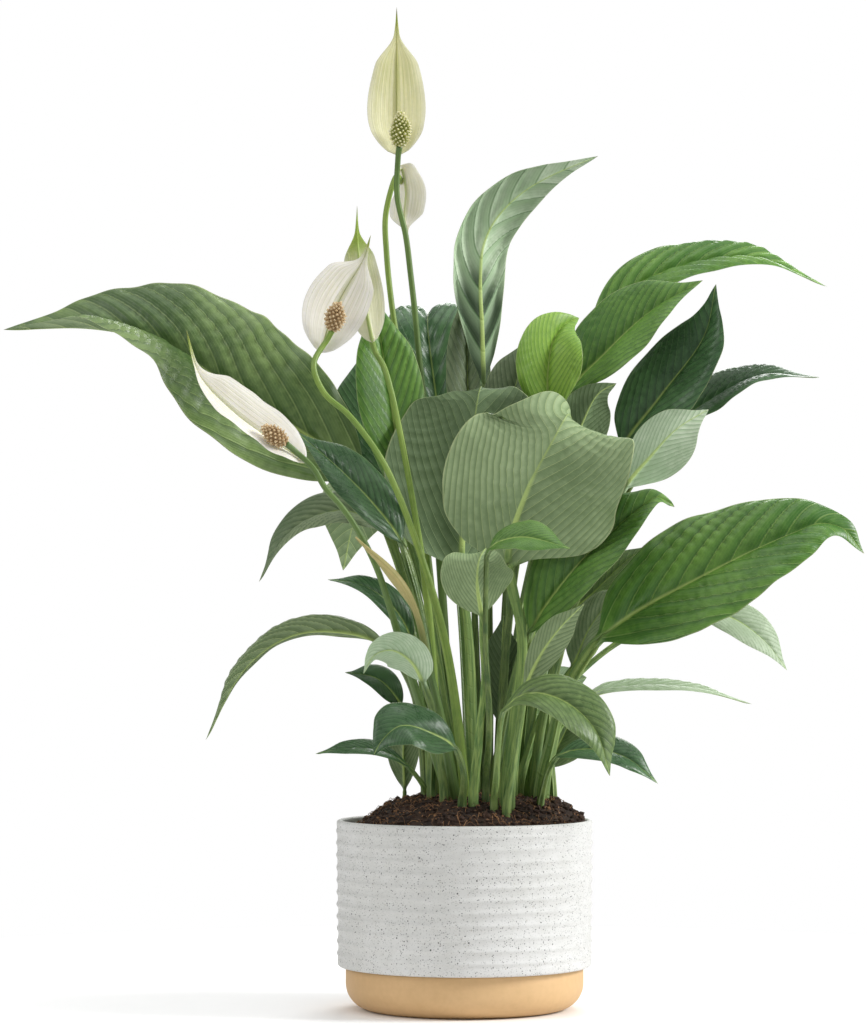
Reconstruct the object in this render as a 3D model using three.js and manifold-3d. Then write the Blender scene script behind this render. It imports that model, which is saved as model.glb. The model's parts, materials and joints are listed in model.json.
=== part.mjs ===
// A peace lily in a two-part planter: a ribbed pot on a drip base, potting mix, arching leaves
// on grooved petioles, and flowers that each have a stalk, a spathe and a spadix.
// Millimetres, +Z up. The origin is the centre of the planter's underside, on the surface it
// stands on. +Y points to the back of the plant.

import * as THREE from 'three';
import Module from 'manifold-3d';

const wasm = await Module();
wasm.setup();

// Planter
const potRadius = 82.5;          // outer radius at the rim
const potTaper = 0.7;            // how much narrower the pot is at its lower edge
const potHeight = 121.4;         // rim above the surface it stands on
const potWall = 3.5;
const potFloor = 3.5;
const drainRadius = 6;
const potEdge = 3;               // rounding of the pot's lower edge
const ribCount = 11;
const ribPitch = 7.85;
const ribDepth = 0.7;            // from a rib's middle line to its crest
const plainBand = 7;             // smooth band between the rim and the first rib
const baseRadius = 76.6;
const baseHeight = 27.3;
const baseWall = 3.5;
const baseFillet = 17;           // rounding between the base's side and its flat foot
const spigotDepth = 4;           // ring under the pot's floor that sits inside the base
const spigotWall = 3;
const fit = 0.3;                 // clearance between pieces that sit in or on each other
const roundSides = 40;

// Potting mix
const soilBelowRim = 3.4;        // at the wall
const soilMound = 19;            // height of the middle over the edge
const soilFlatness = 3;          // power of the mound's profile
const soilRings = 8;

// Leaves
const lamina = 0.8;              // blade thickness
const airGap = 0.5;              // least space kept between neighbouring leaves and stalks
const groove = 0.25;             // depth of the petiole's channel, as a share of its radius
const petioleFlare = 1.6;        // petiole radius at the soil, as a multiple of its own radius
const petioleShoulder = 0.72;    // a petiole's shoulders: out, up and down, as shares of its radius
const petioleAbove = 0.62;
const petioleBelow = 0.68;
const petioleEnd = 0.98;         // share of the petiole's length at its last ring
const usualSlimness = 0.85;      // power of a blade's outline
const tipTaper = 0.45;           // how much the outline is drawn in towards the tip
const halfBlade = 0.55;          // place between midrib and margin where each half blade bends
const quilting = 0.07;           // rise of each half blade between midrib and margin
const keelTip = 0.35;            // depth of the midrib's keel near the blade's tip
const bladeStart = 0.012;        // shares of the blade's length at its first and last rings
const bladeEnd = 0.975;
const ringCrowding = 0.92;       // below 1, rings stand closer together towards the tip
const faceTipAt = 0.75;          // share of the blade's length where it faces faceTip
const petioleRings = 4;
const bladeRings = 11;
const curveSamples = 400;

// Flowers
const stalkRadius = 2.3;
const stalkFlare = 1.5;          // stalk radius at the soil, as a multiple of stalkRadius
const stalkSides = 6;
const stalkRings = 16;
const spatheThickness = 0.9;
const spatheRib = 1.6;
const spadixRings = 8;
const spadixBluntness = 0.12;

// Settling: a leaf or flower that would touch an earlier one swings back or forward about its
// foot, growing to the full swing this far above the soil, and may also root a little aside.
const swingHeight = 110;
const swings = [0, 4, -4, 8, -8, 12, -12, 16, -16, 21, -21, 27, -27, 34, -34, 42, -42, 52, -52];
const roots = [
  [0, 0], [0, 6], [0, -6], [6, 0], [-6, 0], [6, 6],
  [-6, -6], [0, 12], [0, -12], [12, 0], [-12, 0],
];
const drawnMoundTop = 137;       // the plant's points are given for a mound whose top is this high
const leastOverlap = 1e-6;       // volumes below this are rounding, not contact

const up = new THREE.Vector3(0, 0, 1);
const plant = new THREE.Group();

function finish(color, roughness) {
  return new THREE.MeshStandardMaterial({ color, roughness, metalness: 0 });
}

const finishes = {
  leaf: finish(0x4f7a3f, 0.42),
  stalk: finish(0x8aa85a, 0.5),
  spathe: finish(0xefeadd, 0.55),
  spadix: finish(0xcdbb86, 0.8),
  soil: finish(0x3d2a1e, 1),
  pot: finish(0xdfe3e4, 0.6),
  base: finish(0xd9b58a, 0.7),
};

function piece(name, geometry, material) {
  const mesh = new THREE.Mesh(geometry, material);
  mesh.name = name;
  plant.add(mesh);
}

// ---- Planter and potting mix -------------------------------------------------------------

const deg = Math.PI / 180;

function lathe(profile) {
  const geometry = new THREE.LatheGeometry(profile, roundSides);
  geometry.rotateX(90 * deg);
  return geometry;
}

// Points of an arc in the profile plane, x outward and y up, angles in degrees.
function arc(x, y, radius, from, to, steps) {
  const points = [];
  for (let i = 0; i <= steps; i += 1) {
    const a = (from + ((to - from) * i) / steps) * deg;
    points.push(new THREE.Vector2(x + radius * Math.cos(a), y + radius * Math.sin(a)));
  }
  return points;
}

const potBottom = baseHeight + fit;
const potInner = potRadius - potTaper - potWall;
const spigotRadius = baseRadius - baseWall - fit;

function potProfile() {
  const lowerRadius = potRadius - potTaper;
  const outer = arc(lowerRadius - potEdge, potBottom + potEdge, potEdge, -90, 0, 3);
  const topCrest = potHeight - plainBand;
  for (let i = ribCount - 1; i >= 0; i -= 1) {
    const z = topCrest - i * ribPitch;
    const middle = lowerRadius + (potTaper * (z - potBottom)) / (potHeight - potBottom);
    outer.push(new THREE.Vector2(middle - ribDepth, z - ribPitch / 2));
    outer.push(new THREE.Vector2(middle + ribDepth, z));
  }
  return [
    ...outer,
    new THREE.Vector2(potRadius, topCrest + ribPitch / 2),
    new THREE.Vector2(potRadius, potHeight - potWall / 3),
    new THREE.Vector2(potRadius - potWall / 3, potHeight),
    new THREE.Vector2(potInner + potWall / 3, potHeight),
    new THREE.Vector2(potInner, potHeight - potWall / 3),
    new THREE.Vector2(potInner, potBottom + potFloor),
    new THREE.Vector2(drainRadius, potBottom + potFloor),
    new THREE.Vector2(drainRadius, potBottom),
    new THREE.Vector2(spigotRadius - spigotWall, potBottom),
    new THREE.Vector2(spigotRadius - spigotWall, potBottom - spigotDepth),
    new THREE.Vector2(spigotRadius, potBottom - spigotDepth),
    new THREE.Vector2(spigotRadius, potBottom),
    outer[0].clone(),
  ];
}

function baseProfile() {
  const corner = arc(baseRadius - baseFillet, baseFillet, baseFillet, -90, 0, 6);
  const innerFillet = baseFillet - baseWall;
  const inside = arc(baseRadius - baseFillet, baseFillet, innerFillet, 0, -90, 3);
  return [
    new THREE.Vector2(0, 0),
    ...corner,
    new THREE.Vector2(baseRadius, baseHeight),
    new THREE.Vector2(baseRadius - baseWall, baseHeight),
    ...inside,
    new THREE.Vector2(0, baseWall),
  ];
}

const soilRadius = potInner - fit;
const soilEdge = potHeight - soilBelowRim;

function soilHeight(x, y) {
  const share = Math.min(1, Math.hypot(x, y) / soilRadius);
  return soilEdge + soilMound * (1 - share ** soilFlatness);
}

function soilProfile() {
  const bottom = potBottom + potFloor + fit;
  const points = [new THREE.Vector2(0, bottom), new THREE.Vector2(soilRadius, bottom)];
  for (let i = soilRings; i >= 0; i -= 1) {
    const r = (soilRadius * i) / soilRings;
    points.push(new THREE.Vector2(r, soilHeight(r, 0)));
  }
  return points;
}

piece('pot_base', lathe(baseProfile()), finishes.base);
piece('pot_sleeve', lathe(potProfile()), finishes.pot);
piece('soil', lathe(soilProfile()), finishes.soil);

// ---- Lofted bodies -----------------------------------------------------------------------

// A closed skin over rings of equal size, with a pole at each end. On a leaf, whose corners run
// midrib, margin, keel, margin, every cell is split outward and towards the tip, so that its
// upper and lower sides bend alike and stay apart.
function skin(rings, firstPole, lastPole, leafy) {
  const sides = rings[0].length;
  const points = [firstPole, ...rings.flat(), lastPole];
  const last = points.length - 1;
  const index = [];
  for (let j = 0; j < sides; j += 1) {
    const next = (j + 1) % sides;
    index.push(0, 1 + next, 1 + j);
    for (let k = 0; k < rings.length - 1; k += 1) {
      const here = 1 + k * sides;
      const there = here + sides;
      if (!leafy || j % 4 < 2) {
        index.push(here + j, here + next, there + next);
        index.push(here + j, there + next, there + j);
      } else {
        index.push(here + j, here + next, there + j);
        index.push(here + next, there + next, there + j);
      }
    }
    const end = 1 + (rings.length - 1) * sides;
    index.push(last, end + j, end + next);
  }
  const geometry = new THREE.BufferGeometry();
  const positions = points.flatMap((p) => p.toArray());
  geometry.setAttribute('position', new THREE.Float32BufferAttribute(positions, 3));
  geometry.setIndex(index);
  geometry.computeVertexNormals();
  return geometry;
}

function solid(geometry) {
  const vertProperties = new Float32Array(geometry.getAttribute('position').array);
  const triVerts = new Uint32Array(geometry.getIndex().array);
  return new wasm.Manifold(new wasm.Mesh({ numProp: 3, vertProperties, triVerts }));
}

const smooth = THREE.MathUtils.smoothstep;
const lerp = THREE.MathUtils.lerp;

function curveThrough(points) {
  const curve = new THREE.CatmullRomCurve3(points, false, 'centripetal');
  curve.arcLengthDivisions = curveSamples;
  return curve;
}

// Share of the curve's length at which it passes its control point i.
function shareAt(curve, i) {
  const lengths = curve.getLengths();
  const at = Math.round((i / (curve.points.length - 1)) * (lengths.length - 1));
  return lengths[at] / lengths[lengths.length - 1];
}

// The upper side's direction when nothing turns it: up on a level stretch, and back towards
// the foot's side on an upright one. `across` is level and square to the way the leaf leans.
function restingFace(across, tangent) {
  return new THREE.Vector3().crossVectors(across, tangent).normalize();
}

function rollTo(face, across, tangent) {
  const rest = restingFace(across, tangent);
  const wanted = face.clone().addScaledVector(tangent, -face.dot(tangent)).normalize();
  return Math.atan2(new THREE.Vector3().crossVectors(rest, wanted).dot(tangent), rest.dot(wanted));
}

// Half width of a blade, as a share of its widest, at share t of its length: widest at
// `broadest`, fuller there the lower `slimness` is, and drawn out into a slender tip.
function outline(t, broadest, slimness) {
  const body = Math.sin(Math.PI * t ** (Math.log(0.5) / Math.log(broadest))) ** slimness;
  return body * (1 - tipTaper * smooth(t, 0.7, 0.97));
}

// Eight corners of a petiole, channelled on its upper side.
function petioleRing(centre, face, side, radius, pad) {
  const r = radius + pad;
  const corners = [
    [0, groove * radius + pad], [petioleShoulder, petioleAbove],
    [1, 0], [petioleShoulder, -petioleBelow],
    [0, -1], [-petioleShoulder, -petioleBelow],
    [-1, 0], [-petioleShoulder, petioleAbove],
  ];
  return corners.map(([x, y], i) => centre.clone()
    .addScaledVector(side, x * r)
    .addScaledVector(face, i === 0 ? y : y * r));
}

// Eight corners of a blade: midrib, half blade, margin, half blade underneath, keel, and back.
function bladeRing(centre, face, side, half, fold, rib, thick) {
  const [level, raised] = [Math.cos(fold), Math.sin(fold)];
  const corner = (sign, share, lift) => centre.clone()
    .addScaledVector(side, sign * (share * half * level - lift * raised))
    .addScaledVector(face, share * half * raised + lift * level);
  const above = quilting * half + thick / 2;
  const below = quilting * half - thick / 2;
  return [
    centre.clone().addScaledVector(face, thick / 4),
    corner(1, halfBlade, above),
    corner(1, 1, 0),
    corner(1, halfBlade, below),
    centre.clone().addScaledVector(face, -rib),
    corner(-1, halfBlade, below),
    corner(-1, 1, 0),
    corner(-1, halfBlade, above),
  ];
}

// A leaf or spathe along `way`. Its blade starts at way[bladeFrom]; what comes before is its
// petiole. `face` and `faceTip` say where the upper side looks at the blade's two ends.
function leafGeometry(spec, way, pad) {
  const curve = curveThrough(way);
  const start = shareAt(curve, spec.bladeFrom);
  const thick = (spec.thick ?? lamina) + 2 * pad;
  const lean = way[way.length - 1].clone().sub(way[0]).setZ(0).normalize();
  const across = new THREE.Vector3(lean.y, -lean.x, 0);
  const rolls = [start, lerp(start, 1, faceTipAt)].map((share, i) => rollTo(
    new THREE.Vector3(...(i === 0 ? spec.face : spec.faceTip)).normalize(),
    across,
    curve.getTangentAt(share),
  ));
  while (rolls[1] - rolls[0] > Math.PI) rolls[1] -= 2 * Math.PI;
  while (rolls[0] - rolls[1] > Math.PI) rolls[1] += 2 * Math.PI;
  const frame = (share, t) => {
    const tangent = curve.getTangentAt(share);
    const roll = lerp(rolls[0], rolls[1], smooth(t, 0, 1));
    const face = restingFace(across, tangent).applyAxisAngle(tangent, roll);
    const side = new THREE.Vector3().crossVectors(tangent, face);
    return { centre: curve.getPointAt(share), face, side };
  };
  const rings = [];
  const steps = start > 0 ? petioleRings : 0;
  for (let i = 0; i < steps; i += 1) {
    const along = (petioleEnd * i) / (steps - 1);
    const { centre, face, side } = frame(start * along, 0);
    if (i === 0) {
      face.setZ(0).normalize();
      side.crossVectors(up, face);
    }
    const radius = spec.petiole * lerp(petioleFlare, 1, smooth(along, 0, 0.6));
    rings.push(petioleRing(centre, face, side, radius, pad));
  }
  for (let i = 0; i <= bladeRings; i += 1) {
    const t = lerp(bladeStart, bladeEnd, (i / bladeRings) ** ringCrowding);
    const { centre, face, side } = frame(lerp(start, 1, t), t);
    const slimness = spec.slimness ?? usualSlimness;
    const blade = (spec.width / 2) * outline(t, spec.broadest, slimness);
    const half = Math.max(blade, spec.petiole * (1 - 0.9 * t)) + pad;
    const fold = lerp(spec.fold[0], spec.fold[1], t) * deg;
    const rib = lerp(spec.petiole, keelTip, smooth(t, -0.15, 0.8)) + pad;
    rings.push(bladeRing(centre, face, side, half, fold, rib, Math.min(thick, half)));
  }
  return skin(rings, curve.getPointAt(0), curve.getPointAt(1), true);
}

// A round rod along `way`, whose radius at share t of its length is radiusAt(t). A rooted rod's
// first ring is level.
function rodGeometry(way, radiusAt, steps, rooted, pad) {
  const curve = curveThrough(way);
  const frames = curve.computeFrenetFrames(steps, false);
  if (rooted) {
    frames.normals[0].setZ(0).normalize();
    frames.binormals[0].crossVectors(up, frames.normals[0]);
  }
  const rings = [];
  for (let i = 0; i <= steps; i += 1) {
    const centre = curve.getPointAt(i / steps);
    const radius = radiusAt(i / steps) + pad;
    const ring = [];
    for (let j = 0; j < stalkSides; j += 1) {
      const a = (j / stalkSides) * 2 * Math.PI;
      ring.push(centre.clone()
        .addScaledVector(frames.normals[i], radius * Math.cos(a))
        .addScaledVector(frames.binormals[i], radius * Math.sin(a)));
    }
    rings.push(ring);
  }
  return skin(rings, curve.getPointAt(0), curve.getPointAt(1), false);
}

// ---- Settling ----------------------------------------------------------------------------

const settled = [];

// How far the plant stands above the heights its points are given at.
const lift = soilHeight(0, 0) - drawnMoundTop;

// Moves chosen points with their plant's swing and root, both taken from its foot.
function placed(points, foot, swing, root) {
  const [x, y] = [foot[0] + root[0], foot[1] + root[1]];
  const ground = soilHeight(x, y);
  return points.map(([px, py, drawn]) => {
    const pz = drawn + lift;
    const rise = Math.min(1, Math.max(0, (pz - ground) / swingHeight));
    return new THREE.Vector3(px + root[0] * (1 - rise), py + root[1] * (1 - rise) + swing * rise, pz);
  });
}

// Where a stem of this radius stands: just clear of the mound, which rises towards its middle.
function footPoint(foot, root, radius) {
  const [x, y] = [foot[0] + root[0], foot[1] + root[1]];
  const innermost = Math.max(0, Math.hypot(x, y) - radius);
  return new THREE.Vector3(x, y, soilHeight(innermost, 0) + 2 * airGap);
}

// Adds the pieces that build() returns at the first swing and root where none of them comes
// within airGap of an earlier piece.
function settle(build) {
  let pieces;
  for (const root of roots) {
    for (const swing of swings) {
      pieces = build(swing, root, 0);
      const wide = build(swing, root, airGap).map((p) => solid(p.geometry));
      const free = wide.every((body) => settled.every((other) => clear(body, other)));
      wide.forEach((body) => body.delete());
      if (free) {
        pieces.forEach((p) => addSettled(p));
        return;
      }
    }
  }
  pieces.forEach((p) => addSettled(p));
}

function addSettled(p) {
  const body = solid(p.geometry);
  settled.push({ body, box: body.boundingBox() });
  piece(p.name, p.geometry, p.material);
}

function clear(body, other) {
  const box = body.boundingBox();
  const apart = [0, 1, 2].some((i) => box.min[i] > other.box.max[i] || box.max[i] < other.box.min[i]);
  if (apart) return true;
  const shared = body.intersect(other.body);
  const empty = shared.isEmpty() || shared.volume() < leastOverlap;
  shared.delete();
  return empty;
}

function leaf(name, spec) {
  settle((swing, root, pad) => {
    const way = placed(spec.way, spec.foot, swing, root);
    const full = { ...spec, bladeFrom: spec.bladeFrom + 1 };
    return [{
      name,
      geometry: leafGeometry(full, [footPoint(spec.foot, root, spec.petiole * petioleFlare), ...way], pad),
      material: finishes.leaf,
    }];
  });
}

// Stalk, spathe and spadix of one flower. The stalk's last point is where the other two sit.
function flower(number, spec) {
  settle((swing, root, pad) => {
    const foot = footPoint(spec.foot, root, stalkRadius * stalkFlare);
    const stalk = [foot, ...placed(spec.stalk, spec.foot, swing, root)];
    const stalkAt = (t) => stalkRadius * lerp(stalkFlare, 1, smooth(t, 0, 0.7));
    const roundness = (t) => Math.sqrt(Math.max(spadixBluntness, 1 - (2 * t - 1) ** 2));
    const spadixAt = (t) => spec.spadixRadius * roundness(t);
    const spadix = placed(spec.spadix, spec.foot, swing, root);
    return [
      {
        name: `flower_${number}_stalk`,
        geometry: rodGeometry(stalk, stalkAt, stalkRings, true, pad),
        material: finishes.stalk,
      },
      {
        name: `flower_${number}_spathe`,
        geometry: leafGeometry(
          { ...spec, bladeFrom: 0, petiole: spatheRib, thick: spatheThickness },
          placed(spec.spathe, spec.foot, swing, root),
          pad,
        ),
        material: finishes.spathe,
      },
      {
        name: `flower_${number}_spadix`,
        geometry: rodGeometry(spadix, spadixAt, spadixRings, false, pad),
        material: finishes.spadix,
      },
    ];
  });
}

// ---- Flowers -----------------------------------------------------------------------------

flower(1, {
  foot: [-9, 12],
  stalk: [
    [-14, 20, 264], [-24, 22, 375], [-29, 20, 418], [-33, 16, 460],
    [-37, 12, 492], [-40, 10, 514], [-44, 8, 529], [-42, 6, 542], [-43, 4, 552],
  ],
  spathe: [[-43, 8, 553], [-44, 13, 576], [-44, 13, 602], [-44, 9, 627], [-44, 4, 650]],
  width: 41, broadest: 0.3, face: [0, -9, 1], faceTip: [0, -9, 0], fold: [24, 14],
  spadix: [[-42, -1, 558], [-41, -9, 579]],
  spadixRadius: 6,
});

flower(2, {
  foot: [-12, 24],
  stalk: [
    [-21, 32, 264], [-37, 36, 395], [-47, 34, 454], [-51, 32, 493],
    [-52, 30, 508], [-50, 28, 526], [-45, 26, 541],
  ],
  spathe: [[-45, 31, 547], [-41, 36, 549], [-38, 38, 535], [-39, 37, 517], [-37, 33, 497]],
  width: 28, broadest: 0.45, face: [0, 6, 7], faceTip: [1, 9, -1], fold: [20, 14],
  spadix: [[-41, 48, 541], [-40, 60, 529]],
  spadixRadius: 4.2,
});

flower(3, {
  foot: [0, -22],
  stalk: [
    [-3, -30, 172], [-11, -38, 228], [-20, -44, 265], [-37, -48, 316], [-52, -50, 350],
    [-74, -50, 380], [-91, -50, 396], [-96, -49, 411], [-92, -47, 421], [-87, -44, 429],
  ],
  spathe: [[-92, -39, 420], [-84, -35, 446], [-74, -33, 465], [-65, -33, 480], [-60, -36, 496]],
  width: 43, broadest: 0.38, face: [1, -9, 2], faceTip: [1, -9, 2], fold: [20, 16],
  spadix: [[-84, -50, 434], [-80, -58, 450]],
  spadixRadius: 6,
});

flower(4, {
  foot: [-16, -10],
  stalk: [[-24, -15, 263], [-42, -32, 373], [-51, -31, 410], [-58, -19, 424]],
  spathe: [[-59, -24, 428], [-63, -26, 448], [-67, -28, 475], [-69, -28, 498], [-69, -28, 516]],
  width: 26, broadest: 0.35, face: [1, 9, 0], faceTip: [1, 9, 0], fold: [20, 12],
  spadix: [[-60, -14, 431], [-63, -6, 447]],
  spadixRadius: 4,
});

flower(5, {
  foot: [-11, -14],
  stalk: [
    [-25, -34, 186], [-41, -48, 236], [-49, -54, 263], [-58, -58, 288],
    [-74, -60, 316], [-89, -62, 334], [-99, -62, 350], [-107, -62, 356],
  ],
  spathe: [[-101, -57, 349], [-124, -56, 364], [-148, -58, 382], [-168, -60, 404], [-176, -60, 433]],
  width: 40, broadest: 0.36, face: [4, -7, 6], faceTip: [5, -6, 5], fold: [26, 26],
  spadix: [[-113, -67, 361], [-127, -73, 371]],
  spadixRadius: 5,
});

// A flower still furled in its spathe: one slender body on its stalk.
const budRadius = 3.6;
const budLength = 0.14;          // half the bud's length, as a share of its stalk's
const budTip = 0.4;

function bud(name, spec) {
  settle((swing, root, pad) => {
    const foot = footPoint(spec.foot, root, stalkRadius * stalkFlare);
    const way = [foot, ...placed(spec.way, spec.foot, swing, root)];
    const radiusAt = (t) => {
      const swell = budRadius * Math.exp(-(((t - spec.swellAt) / budLength) ** 2));
      const flare = lerp(stalkFlare, 0.9, smooth(t, 0, 0.6));
      const stalk = stalkRadius * flare * (1 - smooth(t, spec.swellAt, 1));
      return Math.max(swell, stalk, budTip);
    };
    const geometry = rodGeometry(way, radiusAt, stalkRings, true, pad);
    return [{ name, geometry, material: finishes.stalk }];
  });
}

bud('flower_bud', {
  foot: [-6, -30],
  way: [
    [-15, -44, 187], [-24, -52, 225], [-27, -54, 241], [-31, -56, 255],
    [-39, -58, 269], [-52, -60, 285], [-69, -60, 302],
  ],
  swellAt: 0.8,
});

// ---- Leaves ------------------------------------------------------------------------------

leaf('leaf_centre_large', {
  foot: [27, -42],
  way: [
    [33, -48, 201], [36, -54, 244], [27, -60, 287], [39, -70, 331],
    [57, -71, 366], [63, -62, 377], [66, -48, 380], [68, -34, 377],
  ],
  bladeFrom: 2, width: 120, broadest: 0.42, petiole: 3.4,
  face: [2, 9, 3], faceTip: [1, 6, -7], fold: [4, 4],
  slimness: 0.5,
});

leaf('leaf_left_arching', {
  foot: [-17, 4],
  way: [
    [-22, 6, 198], [-39, 8, 276], [-65, 10, 341], [-107, 12, 373],
    [-149, 14, 399], [-192, 18, 428], [-241, 24, 441], [-303, 30, 441],
  ],
  bladeFrom: 2, width: 104, broadest: 0.45, petiole: 3.2,
  face: [-1, -9, 4], faceTip: [0, -3, 9], fold: [6, 40],
});

leaf('leaf_right_big', {
  foot: [49, -12],
  way: [
    [52, -16, 152], [60, -22, 191], [74, -28, 224], [85, -32, 237], [111, -36, 256],
    [142, -40, 273], [197, -44, 300], [234, -42, 311], [254, -38, 292],
  ],
  bladeFrom: 3, width: 80, broadest: 0.42, petiole: 3.4,
  face: [-1, -9, 5], faceTip: [1, -6, 7], fold: [8, 12],
});

leaf('leaf_centre_left_large', {
  foot: [5, -10],
  way: [
    [3, -14, 231], [-2, -16, 286], [1, -20, 334], [6, -22, 375],
    [9, -20, 395], [11, -8, 401], [10, 4, 393],
  ],
  bladeFrom: 1, width: 108, broadest: 0.42, petiole: 3.2,
  face: [-3, 9, 2], faceTip: [-1, 0, -9], fold: [4, 4],
  slimness: 0.55,
});

leaf('leaf_tall_twisted', {
  foot: [15, 30],
  way: [
    [16, 36, 231], [15, 38, 330], [13, 40, 405], [12, 42, 445], [11, 46, 478],
    [15, 48, 505], [32, 46, 528], [55, 42, 543], [89, 38, 557],
  ],
  bladeFrom: 2, width: 38, broadest: 0.48, petiole: 2.6,
  face: [-2, 9, 1], faceTip: [-3, 9, 3], fold: [10, 8],
});

leaf('leaf_left_upright', {
  foot: [-11, -4],
  way: [
    [-16, -4, 199], [-24, -4, 263], [-39, -8, 324],
    [-44, -12, 366], [-51, -12, 411], [-60, -8, 465],
  ],
  bladeFrom: 2, width: 46, broadest: 0.5, petiole: 2.6,
  face: [1, -9, 2], faceTip: [2, -9, 1], fold: [14, 14],
});

leaf('leaf_lime_centre', {
  foot: [24, 6],
  way: [
    [27, 2, 231], [41, -4, 328], [54, -8, 382], [54, -12, 408],
    [57, -14, 429], [64, -10, 441], [75, -2, 447],
  ],
  bladeFrom: 2, width: 46, broadest: 0.48, petiole: 2.4,
  face: [0, -9, 1], faceTip: [2, -9, 3], fold: [20, 20],
});

leaf('leaf_right_glossy', {
  foot: [41, 12],
  way: [
    [53, 18, 231], [76, 24, 303], [103, 26, 362],
    [130, 28, 398], [158, 24, 437], [165, 18, 470],
  ],
  bladeFrom: 2, width: 54, broadest: 0.42, petiole: 2.8,
  face: [-2, -8, 5], faceTip: [-4, -8, 3], fold: [10, 14],
});

leaf('leaf_right_folded', {
  foot: [31, 14],
  way: [[38, 18, 231], [53, 20, 329], [69, 22, 398], [91, 20, 423], [121, 18, 451], [156, 14, 472]],
  bladeFrom: 2, width: 58, broadest: 0.45, petiole: 2.6,
  face: [-3, -8, 6], faceTip: [-2, -7, 7], fold: [20, 18],
});

leaf('leaf_right_high', {
  foot: [37, 24],
  way: [
    [45, 38, 231], [64, 50, 363], [88, 52, 429], [111, 52, 468],
    [150, 52, 486], [196, 50, 489], [241, 46, 471],
  ],
  bladeFrom: 2, width: 44, broadest: 0.42, petiole: 2.6,
  face: [0, -5, 9], faceTip: [-1, -4, 9], fold: [14, 12],
});

leaf('leaf_right_centre', {
  foot: [19, -16],
  way: [
    [27, -34, 193], [41, -46, 241], [69, -58, 282], [87, -62, 300],
    [110, -64, 320], [122, -62, 327], [132, -58, 321],
  ],
  bladeFrom: 1, width: 54, broadest: 0.45, petiole: 2.8,
  face: [-3, -8, 4], faceTip: [-2, -7, 6], fold: [22, 20],
});

leaf('leaf_front_pale_hood', {
  foot: [5, -44],
  way: [
    [11, -66, 205], [13, -80, 234], [10, -88, 252], [7, -96, 272],
    [8, -100, 286], [11, -95, 292], [13, -86, 294],
  ],
  bladeFrom: 2, width: 46, broadest: 0.5, petiole: 2.2,
  face: [-1, 9, 1], faceTip: [0, 5, -8], fold: [8, 8],
});

leaf('leaf_front_strip', {
  foot: [13, -34],
  way: [[15, -62, 200], [11, -86, 259], [14, -98, 292], [33, -104, 300], [64, -110, 293]],
  bladeFrom: 2, width: 30, broadest: 0.4, petiole: 2.0,
  face: [0, -4, 9], faceTip: [0, -5, 9], fold: [10, 6],
});

leaf('leaf_front_right_arching', {
  foot: [18, -52],
  way: [
    [20, -72, 162], [23, -88, 192], [40, -100, 204],
    [61, -108, 199], [79, -112, 182], [88, -114, 154],
  ],
  bladeFrom: 1, width: 36, broadest: 0.5, petiole: 2.2,
  face: [-1, -5, 8], faceTip: [5, -8, 4], fold: [10, 12],
});

leaf('leaf_left_long_drooping', {
  foot: [-25, 8],
  way: [
    [-28, 4, 173], [-36, -2, 212], [-51, -6, 234], [-80, -10, 243],
    [-112, -14, 240], [-141, -18, 219], [-166, -20, 173],
  ],
  bladeFrom: 2, width: 40, broadest: 0.4, petiole: 2.2,
  face: [0, 3, 9], faceTip: [-9, 2, 4], fold: [10, 8],
});

leaf('leaf_left_glossy', {
  foot: [-15, -22],
  way: [
    [-18, -26, 199], [-29, -28, 263], [-40, -30, 298],
    [-57, -32, 322], [-80, -34, 346], [-108, -36, 370],
  ],
  bladeFrom: 2, width: 40, broadest: 0.45, petiole: 2.2,
  face: [3, -7, 6], faceTip: [3, -7, 6], fold: [12, 12],
});

leaf('leaf_front_left_drooping', {
  foot: [-2, -50],
  way: [
    [-1, -64, 153], [-6, -74, 169], [-21, -84, 179],
    [-40, -92, 184], [-51, -95, 176], [-57, -96, 166],
  ],
  bladeFrom: 1, width: 38, broadest: 0.5, petiole: 2.0,
  face: [2, -8, 6], faceTip: [-4, -8, 4], fold: [6, 8],
});

leaf('leaf_left_small_folded', {
  foot: [-13, -36],
  way: [
    [-16, -46, 161], [-20, -54, 192], [-26, -60, 210], [-34, -66, 224],
    [-46, -70, 231], [-57, -71, 228], [-64, -68, 216],
  ],
  bladeFrom: 2, width: 30, broadest: 0.4, petiole: 2.0,
  face: [5, 8, 3], faceTip: [-2, 6, 7], fold: [6, 6],
});

leaf('leaf_right_narrow', {
  foot: [48, 24],
  way: [
    [63, 30, 231], [96, 36, 316], [129, 38, 369],
    [162, 40, 394], [195, 38, 410], [235, 34, 410],
  ],
  bladeFrom: 2, width: 46, broadest: 0.42, petiole: 2.4,
  face: [0, -4, 9], faceTip: [0, -3, 9], fold: [14, 10],
});

leaf('leaf_right_pale', {
  foot: [45, 0],
  way: [[56, 4, 211], [83, 8, 289], [104, 10, 335], [121, 12, 356], [138, 12, 374], [159, 14, 387]],
  bladeFrom: 2, width: 42, broadest: 0.5, petiole: 2.2,
  face: [3, 9, -3], faceTip: [3, 9, -3], fold: [8, 8],
});

leaf('leaf_back_arching_over', {
  foot: [4, 38],
  way: [
    [0, 58, 231], [-9, 78, 331], [-18, 88, 399],
    [-24, 96, 450], [-22, 122, 461], [-17, 146, 437],
  ],
  bladeFrom: 1, width: 62, broadest: 0.5, petiole: 2.4,
  face: [0, -9, 3], faceTip: [0, 2, 9], fold: [6, 12],
});

leaf('leaf_back_curled', {
  foot: [10, 22],
  way: [[8, 42, 231], [4, 56, 344], [3, 60, 397], [2, 62, 450], [4, 62, 480]],
  bladeFrom: 1, width: 32, broadest: 0.5, petiole: 2.2,
  face: [0, -9, 1], faceTip: [2, -9, 2], fold: [18, 24],
});

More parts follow.
